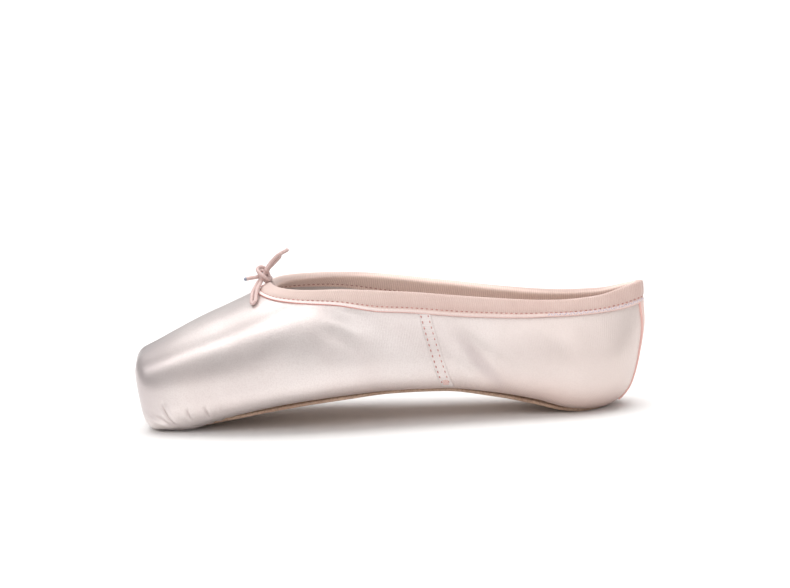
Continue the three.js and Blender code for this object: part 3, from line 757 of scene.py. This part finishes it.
def satin_folds():
    folds = []
    for side in (NEAR, FAR):
        scale = 1.0 if side == NEAR else FAR_SHARE
        for rows, width, depth in QUARTER_FOLDS + VAMP_FOLDS:
            line = [off_side(x, z, side) for x, z in rows]
            folds.append(dict(line=line, width=width, depth=depth * scale))
        for rows, width, depth in TOE_CREASES:
            line = [off_side(x, z, side) for x, z in rows]
            lap = CREASE_LAP * side
            folds.append(dict(line=line, width=width, depth=depth, lip=CREASE_LIP, lap=lap))
        for share, top_reach, depth in zip(PLEAT_SHARES, PLEAT_TOPS, PLEAT_DEPTHS):
            bend = (share + PLEAT_LEAN / 2, PLEAT_BEND * top_reach)
            feet = [(share, PLEAT_FOOT), bend, (share + PLEAT_LEAN, top_reach)]
            line = [at_foot(s, d, side) for s, d in feet]
            lap = PLEAT_LAP * side
            folds.append(dict(line=line, width=PLEAT_WIDTH, depth=depth, lip=PLEAT_LIP, lap=lap))
    return folds


FOLDS = satin_folds()
print(len(FOLDS), "folds on the satin")

# %% [markdown]
# The upper is one shell: up the outside from the sole to the collar, over the edge, and down the inside
# of the wall. The wall is thick at the stiffened box and thin at the quarter. The folds move only the
# outer face, and they fade out under the binding and at the sole, where other pieces lie against the
# satin.

# %% Upper
BOX_WALL, QUARTER_WALL, BOX_WALL_STARTS, BOX_WALL_ENDS = 2.8, 1.6, 40.0, 95.0
SOLE_THICKNESS = 2.8
STEP_FOOT, STEP_HEAD = LASTING_MARGIN - 0.4, LASTING_MARGIN + 0.5
OUTER_ROWS, INNER_ROWS = 158, 34
SLACK, SLACK_STARTS, SLACK_EASE = 0.06, 60.0, 60.0


def eased(share):
    s = np.clip(share, 0, 1)
    return s * s * (3 - 2 * s)


def wall_at(x):
    share = eased((x - BOX_WALL_STARTS) / (BOX_WALL_ENDS - BOX_WALL_STARTS))
    return BOX_WALL + (QUARTER_WALL - BOX_WALL) * share


def margin_points(distance, lift):
    """The lasting margin, stepped up under the foot so that the leather lies let in."""
    points = skin_points(distance)
    points[..., 2] += SOLE_THICKNESS + GAP - read(SOLE_ROWS, "along", "proud", points[..., 0]) + lift
    return points


def slack_waves(points):
    """The faint unevenness of cloth that was lasted by hand."""
    x, y, z = points[..., 0], points[..., 1], points[..., 2]
    waves = np.sin(x / 7.3 + z / 11.0 + 0.4) * np.sin(z / 8.1 - x / 19.0 + y / 13.0)
    return waves + 0.6 * np.sin(x / 4.1 - z / 6.3 + 1.7) * np.sin(y / 9.0 + x / 31.0)


def upper_rows():
    outer_distance = STEP_HEAD + (TOTAL[:, None] - STEP_HEAD) * np.linspace(0, 1, OUTER_ROWS)[None]
    inner_distance = STEP_HEAD + (TOTAL[:, None] - STEP_HEAD) * np.linspace(1, 0, INNER_ROWS)[None]
    outer, normal = skin(outer_distance)
    relief = SLACK * slack_waves(outer) * eased((outer[..., 0] - SLACK_STARTS) / SLACK_EASE)
    for fold in FOLDS:
        relief = relief + fold_height(outer, normal, **fold)
    below_tape = mirrored(TOTAL[:, None] - TAPE[:, None] - outer_distance, 1)
    rise = mirrored(outer_distance - STEP_HEAD, 1)
    relief *= eased((below_tape + 1.0) / 4.0) * eased((rise + 0.6) / 2.5)
    outer = outer + normal * relief[..., None]
    outer[..., 2] = np.maximum(outer[..., 2], 0)
    inside, inward = skin(inner_distance)
    inner = inside - inward * wall_at(inside[..., 0])[..., None]
    under = margin_points(from_opening(0, STEP_FOOT), 0)
    over = margin_points(from_opening(STEP_FOOT, 0), 0)
    over[..., 2] += wall_at(over[..., 0])
    rows = np.concatenate([under, outer, inner, over, under[:, :1]], axis=1)
    slots = [0] * (2 + OUTER_ROWS) + [1] * (INNER_ROWS + 2)
    hollow = np.pad(-relief, ((0, 0), (2, INNER_ROWS + 3)))
    return rows, slots, hollow


def cloth_of(points, columns_reach):
    """A cloth map: round the shoe by the given lengths, and up each column by its own."""
    up = run_length(points)
    return np.stack(np.broadcast_arrays(columns_reach[:, None], up), axis=-1)


widest_line = mirrored(widest_rail(read(COLUMN_ROWS, "column", "widest", SHARES)))
ROUND_WIDEST = run_length(closed(widest_line))
upper_points, upper_slots, upper_hollow = upper_rows()
upper_points = closed(upper_points)
upper_cloth = cloth_of(upper_points, ROUND_WIDEST)
upper = laid_grid("satin_upper", upper_points, upper_cloth, upper_slots, hollow=closed(upper_hollow))
print("upper height", round(upper_points[..., 2].max(), 1), "mm, round the widest line",
      round(ROUND_WIDEST[-1], 1), "mm")

# %% [markdown]
# Satin shines because long threads float over the weave, so it is half a mirror where it is pulled tight
# over the box, and duller where it is slack. Its finish is a pale pink, warmer towards the heel, with light
# and shade painted in: painted shade, browner, along the sole; painted shade, greyer, on the platform's
# front, over painted light on the pleats below it; and painted shade in the folds. Cloudiness, very fine
# ribs along the threads and a fine grain are far smaller than the folds, so they are bump and not mesh.
# The lining inside is plain cotton with an open weave.

# %% Satin and lining


def satin_finish():
    finish = Finish("satin", Sheen_Weight=0.1, Sheen_Roughness=0.4)
    round_it, up = finish.cloth_map()
    along = finish.along()
    slack = finish.spread(along, -0.030, 0.030)
    clouds = finish.spread(finish.noise(38.0, 3.0), 0.3, 0.7)
    cloth = finish.blend(clouds, tone(221, 210, 207), tone(228, 219, 216))
    grain = finish.noise(1500.0, 1.0)
    cloth = finish.blend(finish.spread(grain, 0.35, 0.75, 0.0, 0.35), cloth, tone(206, 193, 190))
    cloth = finish.blend(finish.spread(along, 0.0, 0.1, 0.0, 0.55), cloth, tone(226, 209, 201))
    # Painted shade: low along the sole at the arch the satin is painted darker and browner, where the upper
    # bulges over the sole.
    low = finish.spread(up, 0.006, 0.03, 1.0, 0.0)
    painted_sole_shade = finish.math("MULTIPLY", finish.spread(along, -0.06, 0.0, 0.0, 0.8), low)
    cloth = finish.blend(painted_sole_shade, cloth, tone(208, 180, 170))
    # Painted light and shade at the toe: the pleats low on the platform are painted lighter, as light from
    # the floor, and the platform's front above them is painted darker and greyer, as shade.
    painted_toe_light_and_shade = finish.blend(finish.spread(up, 0.025, 0.036), tone(248, 239, 236), tone(200, 190, 189))
    cloth = finish.blend(finish.spread(along, -0.118, -0.092, 1.0, 0.0), cloth, painted_toe_light_and_shade)
    # Painted shade in the folds: the satin is painted darker where the hollow attribute says a trough is
    # deep.
    fold = finish.tree.nodes.new("ShaderNodeAttribute")
    fold.attribute_name = "hollow"
    cloth = finish.blend(finish.spread(fold.outputs["Fac"], 0.1, 1.1, 0.0, 0.55), cloth, tone(196, 181, 180))
    finish.wear("Base Color", cloth)
    finish.wear("Metallic", finish.math("MULTIPLY_ADD", slack, -0.28, 0.62))
    patchy = finish.spread(finish.noise(70.0, 3.0), 0.25, 0.75, -0.03, 0.03)
    finish.wear("Roughness", finish.math("ADD", patchy, finish.spread(slack, 0.0, 1.0, 0.32, 0.44)))
    uneven = finish.math("MULTIPLY", finish.noise(300.0, 2.0), 0.0012)
    threads = finish.ribs(finish.math("ADD", round_it, uneven), 0.0012)
    slow = finish.bump(finish.noise(420.0, 3.0), 0.00008, 0.5)
    fine = finish.bump(finish.math("MULTIPLY", threads, slack), 0.00009, 0.5, slow)
    finish.wear("Normal", finish.bump(grain, 0.00008, 0.6, fine))
    return finish.material


def lining_finish():
    finish = Finish("cotton_lining", Roughness=0.9, Sheen_Weight=0.1)
    round_it, up = finish.cloth_map()
    weave = finish.math("MULTIPLY", finish.ribs(round_it, 0.0011), finish.ribs(up, 0.0011))
    soiled = finish.spread(finish.noise(45.0, 3.0), 0.35, 0.7)
    cloth = finish.blend(soiled, tone(238, 232, 226), tone(222, 210, 200))
    finish.wear("Base Color", finish.blend(finish.math("MULTIPLY", weave, 0.25), cloth, tone(206, 194, 184)))
    finish.wear("Normal", finish.bump(weave, 0.0002, 0.6))
    return finish.material


SATIN = satin_finish()
LINING = lining_finish()
dress(upper, "satin", SATIN, LINING)
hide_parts("upper")

# %% [markdown]
# The leather outsole is a thin piece, let in under the satin's margin and standing a little proud of it,
# with a rough, lightly bevelled edge. Across its width it is nearly flat, so each section is a closed
# ring: across the underside from the near edge to the far one, and back over the top. At the two ends the
# rings close up.

# %% Shape of the outsole and the insole
# How far in from the opening's edge, and how far down as a share of the thickness: a groove, then the edge.
SOLE_EDGE = ((1.9, 0), (1.9, 0.34), (0.1, 0.44), (0, 0.64), (0.1, 0.8), (0.45, 0.94), (1.2, 1))
ACROSS = 14
FRAY, FRAY_LIMIT = 0.16, 0.1
INSOLE_EDGE, INSOLE_LIFTS = 7, (1.2, 0.6, 0.0)


def ring_across(near_lines):
    """Closed sections from the near edge under to the far edge and back, for lines of the near half."""
    far_lines = near_lines[:, ::-1] * np.array([1, -1, 1])
    share = np.linspace(0, 1, ACROSS + 1)[1:-1, None]
    lowest, highest = near_lines[:, -1:], near_lines[:, :1]
    under = lowest + (far_lines[:, :1] - lowest) * share[None]
    over = far_lines[:, -1:] + (highest - far_lines[:, -1:]) * share[None]
    return np.concatenate([near_lines, under, far_lines, over, near_lines[:, :1]], axis=1)


def near_half(ring):
    return ring[: HALF_COLUMNS + 1]


def outsole_rings():
    edge = STEP_FOOT - GAP
    column = np.arange(HALF_COLUMNS + 1)
    fray = FRAY * (np.sin(column * 1.9) * np.sin(column * 0.37 + 1) + 0.5 * np.sin(column * 3.7))
    lines = []
    for inset, share in SOLE_EDGE:
        distance = from_opening(edge - inset) + (fray[:, None] if share > 0 else 0)
        distance = np.minimum(distance, edge + FRAY_LIMIT)
        points = near_half(margin_points(distance, -GAP - share * SOLE_THICKNESS))
        points[..., 2] = np.maximum(points[..., 2], 0)
        lines.append(points)
    lines = np.concatenate(lines, axis=1)
    lines[[0, -1], :, 1] = 0
    return ring_across(lines)


def insole_rings():
    inside, inward = skin(from_opening(INSOLE_EDGE))
    out = near_half(inside - inward * wall_at(inside[..., 0])[..., None])
    base = near_half(margin_points(from_opening(STEP_FOOT), GAP))
    height = base[..., 2] + wall_at(near_half(skin_points(from_opening(0)))[..., 0])
    lines = [np.stack([out[..., 0], out[..., 1], height + lift], axis=-1) for lift in INSOLE_LIFTS]
    lines = np.concatenate(lines, axis=1)
    lines[[0, -1], :, 1] = 0
    return ring_across(lines)


sole_reach = run_length(opening_rail(read(COLUMN_ROWS, "column", "opening", SHARES)))
print("edge of the opening", round(sole_reach[-1], 1), "mm from toe to heel")

# %% [markdown]
# The leather is a split hide with the rough side out, so it is dull, blotched and coarse in the grain.
# The inner sole is covered with the same cotton as the lining. Both sheets are laid from their rings.

# %% Outsole and insole


def leather_finish():
    finish = Finish("sole_leather", Roughness=0.8, Sheen_Weight=0.15)
    grain = finish.noise(900.0, 6.0, roughness=0.65)
    patches = finish.spread(finish.noise(60.0, 4.0), 0.3, 0.7)
    hide = finish.blend(patches, tone(184, 152, 130), tone(208, 178, 156))
    pores = finish.spread(grain, 0.42, 0.72, 0.0, 0.55)
    finish.wear("Base Color", finish.blend(pores, hide, tone(138, 108, 90)))
    finish.wear("Roughness", finish.spread(grain, 0.3, 0.7, 0.7, 0.92))
    finish.wear("Normal", finish.bump(grain, 0.0004, 0.7))
    return finish.material


for name, rings, slot, finish in (
    ("outsole_leather", outsole_rings(), "sole_leather", leather_finish()),
    ("insole_sheet", insole_rings(), "lining", LINING),
):
    sheet = laid_grid(name, rings, cloth_of(rings, sole_reach))
    dress(sheet, slot, finish)
    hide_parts(name.split("_")[0])

# %% [markdown]
# The binding is a ribbed tape folded over the collar's raw edge and sewn through, so that it makes a
# casing for the drawstring. Its section is drawn once, by its drop below the edge and its stand off the
# satin: a turned-under strip at the bottom, a groove where the stitches pull it in, the swelling of the
# casing, the fold over the rim, and the same down the inside. The section is swept round the collar.

# %% Shape of the binding
STITCH_DROP = 0.74
# Drop below the satin's edge as a share of the width, and stand off the skin or off the wall's inner face.
OUTER_SECTION = [
    (1.0, 0.20), (1.006, 0.50), (0.988, 0.68), (0.925, 0.76), (0.838, 0.75), (0.775, 0.64),
    (STITCH_DROP, 0.56), (0.70, 0.68), (0.625, 0.90), (0.50, 1.06), (0.35, 1.14), (0.20, 1.16),
    (0.075, 1.16),
]
# Height over the edge in millimetres, and stand.
RIM_SECTION = [(0.1, 1.12), (0.62, 0.86), (0.98, 0.3)]
RIM_CREST, FOLD_DROP, FOLD_RISE = 1.12, 0.5, 0.1
CASING_PUCKER = 0.07


def pucker(reach):
    """Small uneven gathers along the casing."""
    return np.sin(reach / 1.9) * np.sin(reach / 6.7 + 0.6) + 0.7 * np.sin(reach / 3.1 + 2.0)


def binding_rows():
    edge, edge_normal = skin(from_collar(0))
    edge, edge_normal = edge[:, 0], edge_normal[:, 0]
    up = edge - skin_points(from_collar(0.2))[:, 0]
    up /= np.linalg.norm(up, axis=-1, keepdims=True)
    reach = run_length(closed(edge))[:-1]
    gather = CASING_PUCKER * pucker(reach)[:, None]
    wall = wall_at(edge[:, 0])[:, None]

    def below(drop, stand, inside):
        base, normal = (part[:, 0] for part in skin(from_collar(drop)))
        stand = stand + gather * math.sin(math.pi * max(0.0, 1 - drop / STITCH_DROP))
        return base - normal * (wall + stand) if inside else base + normal * stand

    def over(height, stand, inside):
        base = edge + up * height
        return base - edge_normal * (wall + stand) if inside else base + edge_normal * stand

    outside = [below(*row, False) for row in OUTER_SECTION] + [over(*row, False) for row in RIM_SECTION]
    crest = edge + up * RIM_CREST - edge_normal * wall / 2
    within = [over(*row, True) for row in RIM_SECTION[::-1]]
    within += [below(*row, True) for row in OUTER_SECTION[::-1]]
    raw = [below(FOLD_DROP, GAP, True), over(FOLD_RISE, GAP, True)]
    raw += [over(FOLD_RISE, GAP, False), below(FOLD_DROP, GAP, False)]
    rows = np.stack(outside + [crest] + within + raw + outside[:1], axis=1)
    return closed(rows), run_length(closed(edge))


binding_points, collar_reach = binding_rows()
print("binding round the collar", round(collar_reach[-1], 1), "mm")

# %% [markdown]
# The tape is a dull grosgrain with ribs across it. Along its lower edge runs a whitish turned-under strip
# with a coral line below, both freshest near the throat and worn away towards the heel. The inside is
# painted paler, as painted light where little light reaches into the shoe.

# %% Binding


def binding_finish():
    finish = Finish("ribbed_tape", Roughness=0.86, Sheen_Weight=0.3, Sheen_Roughness=0.5)
    round_it, up = finish.cloth_map()
    wander = finish.math("MULTIPLY", finish.noise(150.0), 0.0006)
    rib = finish.ribs(finish.math("ADD", round_it, wander), 0.0009)
    patches = finish.spread(finish.noise(90.0, 3.0), 0.3, 0.7)
    along = finish.along()
    fresh = finish.spread(along, -0.025, 0.030, 1.0, 0.3)
    tape = finish.blend(patches, tone(206, 177, 168), tone(213, 187, 178))
    tape = finish.blend(finish.math("MULTIPLY", fresh, 0.6), tape, tone(228, 209, 200))
    # Painted light: the inside of the tape is painted paler, where little light reaches into the shoe.
    tape = finish.blend(finish.spread(up, 0.0105, 0.0125), tape, tone(255, 229, 217))
    tape = finish.blend(finish.spread(rib, 0.1, 0.75, 0.30, 0.0), tape, tone(198, 160, 150))
    strip = finish.spread(up, 0.0017, 0.0022, 1.0, 0.0)
    tape = finish.blend(strip, tape, finish.blend(fresh, tone(222, 196, 188), tone(242, 228, 224)))
    piping = finish.math("MULTIPLY", fresh, finish.spread(up, 0.0005, 0.0008, 1.0, 0.0))
    finish.wear("Base Color", finish.blend(piping, tape, tone(222, 142, 132)))
    nap = finish.bump(finish.noise(3200.0, 2.0), 0.00012, 0.5)
    finish.wear("Normal", finish.bump(rib, 0.00016, 0.8, nap))
    return finish.material


binding = laid_grid("binding_tape", binding_points, cloth_of(binding_points, collar_reach))
dress(binding, "binding", binding_finish())
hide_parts("binding")

# %% [markdown]
# The side seam is where the quarter laps over the vamp: a strip of the same satin with a folded edge
# towards the heel. It is a low closed section, drawn by its place across and its stand off the satin, and
# swept down a line of the skin. A displaced band on the upper would be simpler, but then the edge
# couldn't stand free.

# %% Side seams
SEAM_TOP, SEAM_FOOT = (139.0, 52.4), (148.2, 17.2)
SEAM_SECTION = [
    (-2.8, -0.3), (-2.8, 0.0), (-2.2, 0.16), (-1.2, 0.30), (-0.2, 0.36), (0.8, 0.38), (1.7, 0.44),
    (2.4, 0.52), (2.72, 0.46), (2.85, 0.24), (2.8, -0.3),
]
SEAM_STATIONS = 60
SEAM_CLOTH_START = 40.0


def seam_points(side):
    stations = []
    for x, z in np.linspace(SEAM_TOP, SEAM_FOOT, SEAM_STATIONS + 1):
        stations.append([off_side(x + across, z, side, stand) for across, stand in SEAM_SECTION])
    return np.array(stations)


def swept_strip(name, sections, start=0.0):
    """A strip of closed sections; its cloth map starts at a given distance from the sole."""
    points = np.concatenate([sections, sections[:, :1]], axis=1)
    cloth = cloth_of(points, run_length(points[:, 0])) + np.array([0.0, start])
    return laid_grid(name, points, cloth, fill=True)


for side, label in ((NEAR, "near"), (FAR, "far")):
    seam = swept_strip(f"side_seam_lap_{label}", seam_points(side), SEAM_CLOTH_START)
    dress(seam, "satin", SATIN)
    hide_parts(f"side_seam_{label}")

# %% [markdown]
# The back strip covers the join down the heel: a narrow tape with rolled edges in coral. It is swept in
# the same way, but its sections are read off the skin's ring, because the heel turns too sharply there
# for a side view.

# %% Back strip
STRIP_SECTION = [
    (-3.3, -0.2), (-3.35, 0.35), (-3.1, 0.78), (-2.6, 0.74), (-2.2, 0.55), (-1.0, 0.66), (0.0, 0.7),
    (1.0, 0.66), (2.2, 0.55), (2.6, 0.74), (3.1, 0.78), (3.35, 0.35), (3.3, -0.2),
]
STRIP_TOP_DROP, STRIP_FOOT_SHARE = 8.6, 0.17
STRIP_STATIONS, STRIP_COLUMNS = 70, 24
STRIP_OFF_FLOOR = 0.05


def strip_points():
    middle = TOTAL[HALF_COLUMNS]
    distance = np.linspace(middle - STRIP_TOP_DROP, middle * STRIP_FOOT_SHARE, STRIP_STATIONS + 1)
    points, normal = skin(TOTAL[:, None] * distance[None] / middle)
    beside = np.arange(HALF_COLUMNS - STRIP_COLUMNS, HALF_COLUMNS + STRIP_COLUMNS + 1)
    across, stand = np.array(STRIP_SECTION).T
    rows = []
    for line, outward in zip(points[beside].swapaxes(0, 1), normal[beside].swapaxes(0, 1)):
        reach = run_length(line)
        reach = reach - reach[STRIP_COLUMNS]
        rows.append(along_line(line, reach, across) + stand[:, None] * along_line(outward, reach, across))
    rows = np.array(rows)
    rows[..., 2] = np.maximum(rows[..., 2], STRIP_OFF_FLOOR)
    return rows


def strip_finish():
    finish = Finish("back_tape", Roughness=0.7, Sheen_Weight=0.3)
    run, across = finish.cloth_map()
    edge = finish.math("ABSOLUTE", finish.math("SUBTRACT", across, 0.0044))
    coral = finish.spread(edge, 0.0024, 0.0029)
    rib = finish.ribs(run, 0.0008)
    patches = finish.spread(finish.noise(120.0), 0.3, 0.7)
    tape = finish.blend(patches, tone(232, 200, 190), tone(238, 212, 204))
    tape = finish.blend(finish.math("MULTIPLY", rib, 0.2), tape, tone(214, 176, 166))
    finish.wear("Base Color", finish.blend(coral, tape, tone(230, 184, 176)))
    finish.wear("Normal", finish.bump(rib, 0.0001, 0.6))
    return finish.material


back_strip = dress(swept_strip("heel_strip", strip_points()), "satin", strip_finish())
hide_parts("back_strip")

# %% [markdown]
# Stitches are what tells a sewn shoe from a moulded one. One stitch is modelled from a small sphere,
# drawn out and sunk at both ends, and each place gets a copy with its own mesh, turned along the seam.
# The copies of one row are then joined. The thread is a reddish brown on the binding and the side seams,
# pink in the bar tacks, and pale in the zigzag along the binding's lower edge round the heel.

# %% One stitch
STITCH_LENGTH, STITCH_WIDTH, STITCH_HEIGHT = 1.35, 0.62, 0.42


def modelled_stitch():
    bpy.ops.object.select_all(action="DESELECT")
    bpy.ops.mesh.primitive_uv_sphere_add(segments=8, ring_count=6, radius=0.5)
    stitch = bpy.context.object
    bpy.ops.object.mode_set(mode="EDIT")
    bpy.ops.mesh.select_all(action="SELECT")
    bpy.ops.transform.rotate(value=math.pi / 2, orient_axis="Y", center_override=(0, 0, 0))
    bpy.ops.transform.resize(value=(STITCH_LENGTH * MM, STITCH_WIDTH * MM, STITCH_HEIGHT * MM))
    bpy.ops.object.mode_set(mode="OBJECT")
    bpy.ops.object.shade_smooth()
    return stitch


def thread_finish(name, light, dark):
    finish = Finish(name, Roughness=0.6, Sheen_Weight=0.2)
    twist = finish.noise(2400.0, 2.0)
    finish.wear("Base Color", finish.blend(finish.spread(twist, 0.35, 0.65), dark, light))
    finish.wear("Normal", finish.bump(twist, 0.0001, 0.6))
    return finish.material


def sewn_row(name, places, finish):
    """Copies of one stitch at places (point, direction, outward, length scale), joined into one piece."""
    copies = []
    for point, direction, outward, scale in places:
        ahead = direction / np.linalg.norm(direction)
        across = np.cross(outward, ahead)
        across /= np.linalg.norm(across)
        copy = stitch.copy()
        copy.data = stitch.data.copy()
        frame_here = np.stack([ahead * scale, across, np.cross(ahead, across)], axis=1)
        placed = Matrix(frame_here.tolist()).to_4x4()
        placed.translation = metres(point)
        copy.data.transform(placed)
        bpy.context.collection.objects.link(copy)
        copies.append(copy)
    bpy.ops.object.select_all(action="DESELECT")
    for copy in copies:
        copy.select_set(True)
    bpy.context.view_layer.objects.active = copies[0]
    bpy.ops.object.join()
    row = bpy.context.object
    row.name = row.data.name = name
    return dress(row, "cord", finish)


stitch = modelled_stitch()
RED_THREAD = thread_finish("red_thread", tone(206, 150, 140), tone(160, 98, 92))
PINK_THREAD = thread_finish("pink_thread", tone(228, 192, 183), tone(206, 160, 152))
PALE_THREAD = thread_finish("pale_thread", tone(226, 214, 222), tone(176, 160, 174))
print("one stitch:", len(stitch.data.polygons), "faces")

# %% [markdown]
# The binding's row runs all the way round, outside and inside, at an even pitch. The side seam has two
# rows and a bar tack at its foot. Every stitch lies in the face that it sews, sunk by about half.

# %% Rows of stitches
STITCH_PITCH, STITCH_STAND = 2.3, 0.60
ZIGZAG_FROM, ZIGZAG_PITCH, ZIGZAG_TILT = 196.0, 1.3, 0.85
ZIGZAG_DROP, ZIGZAG_STAND, ZIGZAG_STRETCH = 0.863, 0.72, 1.15
SEAM_PITCH, SEAM_STAND, SEAM_ROWS = 2.5, 0.36, (-1.75, 1.55)
TACK_ROWS, TACK_PITCH, TACK_STAND, TACK_STRETCH = 5, 0.55, 0.30, 2.6
TACK_FOOT = np.array([-0.4, 1.6])
AIR = 1.5


def collar_line(drop, stand, inside):
    """A line round the collar at a drop below its edge, with its outward directions."""
    points, normal = (part[:, 0] for part in skin(from_collar(drop)))
    if inside:
        return points - normal * (wall_at(points[:, 0])[:, None] + stand), -normal
    return points + normal * stand, normal


def along_collar(drop, stand, inside, pitch):
    """Evenly spaced places round the collar, each with its direction and its outward side."""
    line, outward = collar_line(drop, stand, inside)
    line, outward = closed(line), closed(outward)
    reach = run_length(line)
    spots = np.arange(0.5, np.floor(reach[-1] / pitch)) * pitch
    ahead = along_line(line, reach, spots + 0.4) - along_line(line, reach, spots - 0.4)
    return zip(along_line(line, reach, spots), ahead, along_line(outward, reach, spots))


def binding_stitches(inside):
    return [(p, a, n, 1.0) for p, a, n in along_collar(STITCH_DROP, STITCH_STAND, inside, STITCH_PITCH)]


def zigzag_stitches():
    places = []
    for k, (p, a, n) in enumerate(along_collar(ZIGZAG_DROP, ZIGZAG_STAND, False, ZIGZAG_PITCH)):
        if p[0] > ZIGZAG_FROM:
            a = a / np.linalg.norm(a)
            tilt = ZIGZAG_TILT if k % 2 else -ZIGZAG_TILT
            places.append((p, a * math.cos(tilt) + np.cross(n, a) * math.sin(tilt), n, ZIGZAG_STRETCH))
    return places


def seam_stitches(side):
    places = []
    top, foot = np.array(SEAM_TOP), np.array(SEAM_FOOT)
    count = int(np.linalg.norm(foot - top) / SEAM_PITCH)
    for across in SEAM_ROWS:
        for k in range(count - 1):
            x, z = top + (foot - top) * (k + 0.8) / count
            point = off_side(x + across, z, side, SEAM_STAND)
            ahead = off_side(x + across + 0.1, z - 0.4, side, SEAM_STAND) - point
            places.append((point, ahead, off_side(x + across, z, side, AIR) - point, 1.0))
    return places


def bar_tack(side):
    places = []
    for k in range(TACK_ROWS):
        x, z = SEAM_FOOT + TACK_FOOT + np.array([0, k * TACK_PITCH])
        point = off_side(x, z, side, TACK_STAND)
        ahead = off_side(x + 0.5, z, side, TACK_STAND) - point
        places.append((point, ahead, off_side(x, z, side, AIR) - point, TACK_STRETCH))
    return places


sewn_row("binding_stitches_outside", binding_stitches(False), RED_THREAD)
sewn_row("binding_stitches_inside", binding_stitches(True), RED_THREAD)
sewn_row("heel_zigzag", zigzag_stitches(), PALE_THREAD)
for side, label in ((NEAR, "near"), (FAR, "far")):
    sewn_row(f"seam_stitches_{label}", seam_stitches(side), RED_THREAD)
    sewn_row(f"bar_tack_{label}", bar_tack(side), PINK_THREAD)
bpy.data.objects.remove(stitch)

# %% [markdown]
# The stage is a plain pale floor, dull like paper, so that the shoe stands on white and is lit from
# below.

# %% Floor
FLOOR_SIZE = 8.0


def floor_finish():
    finish = Finish("pale_floor", Roughness=0.7)
    finish.wear("Base Color", finish.blend(finish.noise(6.0), tone(238, 237, 236), tone(242, 241, 240)))
    return finish.material


bpy.ops.mesh.primitive_plane_add(size=FLOOR_SIZE)
floor = bpy.context.object
floor.name = "floor"
floor.data.materials.append(floor_finish())
print("floor", FLOOR_SIZE, "m square")

# %% [markdown]
# The light is that of a soft studio. The broad light hangs high and a little behind the shoe, so the
# shadow falls under the arch and just in front. A long narrow strip light bends round the front from the
# toe's side: satin is half a mirror, so the strip draws the bright streak down the box, with a darker
# band below it where the satin faces the dim room. Weak lights fill in the rest: one in front for the
# heel, one past the toe, one behind that is mirrored in the crown of the box, and a pale screen low in
# the room that keeps the dark band soft.

# %% Light
# Strength, spread, height over the floor and turn round the shoe (0 in front, -90 at the toe), in degrees.
TOP_LIGHT = (2.85, 60.0, 77.0, 180.0)
FRONT_LIGHT = (0.4, 36.0, 29.0, 32.0)
TOE_LIGHT = (0.30, 44.0, 62.0, -126.0)
BACK_LIGHT = (0.12, 50.0, 30.0, -154.0)
STRIP_STRENGTH, STRIP_SPREAD = 0.13, 15.0
STRIP = ((32, -79), (42, -66), (49, -52), (50, -39), (49, -26), (47, -13), (44, 0))
SCREEN_STRENGTH, SCREEN_SPREAD = 0.05, 20.0
SCREEN = ((2, -6), (10, 14), (6, 28))
ROOM_LIGHT = 0.30


def soft_light(name, strength, spread, height, turn):
    """A wide even light from far away, in front of the shoe where its turn is 0."""
    bpy.ops.object.light_add(type="SUN", location=(0.0, 0.0, 1.0))
    light = bpy.context.object
    light.name = name
    light.data.energy = strength
    light.data.angle = math.radians(spread)
    light.rotation_euler = (math.radians(90.0 - height), 0.0, math.radians(turn))


soft_light("top_light", *TOP_LIGHT)
soft_light("front_light", *FRONT_LIGHT)
soft_light("toe_light", *TOE_LIGHT)
soft_light("back_light", *BACK_LIGHT)
for number, (height, turn) in enumerate(STRIP):
    soft_light(f"strip_light_{number}", STRIP_STRENGTH, STRIP_SPREAD, height, turn)
for number, (height, turn) in enumerate(SCREEN):
    soft_light(f"screen_light_{number}", SCREEN_STRENGTH, SCREEN_SPREAD, height, turn)

world = bpy.data.worlds.new("room")
bpy.context.scene.world = world
world.use_nodes = True
room = world.node_tree.nodes["Background"]
room.inputs["Color"].default_value = tone(252, 250, 250)
room.inputs["Strength"].default_value = ROOM_LIGHT
bpy.context.scene.view_settings.view_transform = "Standard"
print("top light", TOP_LIGHT, "strip of", len(STRIP), "lights, screen of", len(SCREEN), "lights")
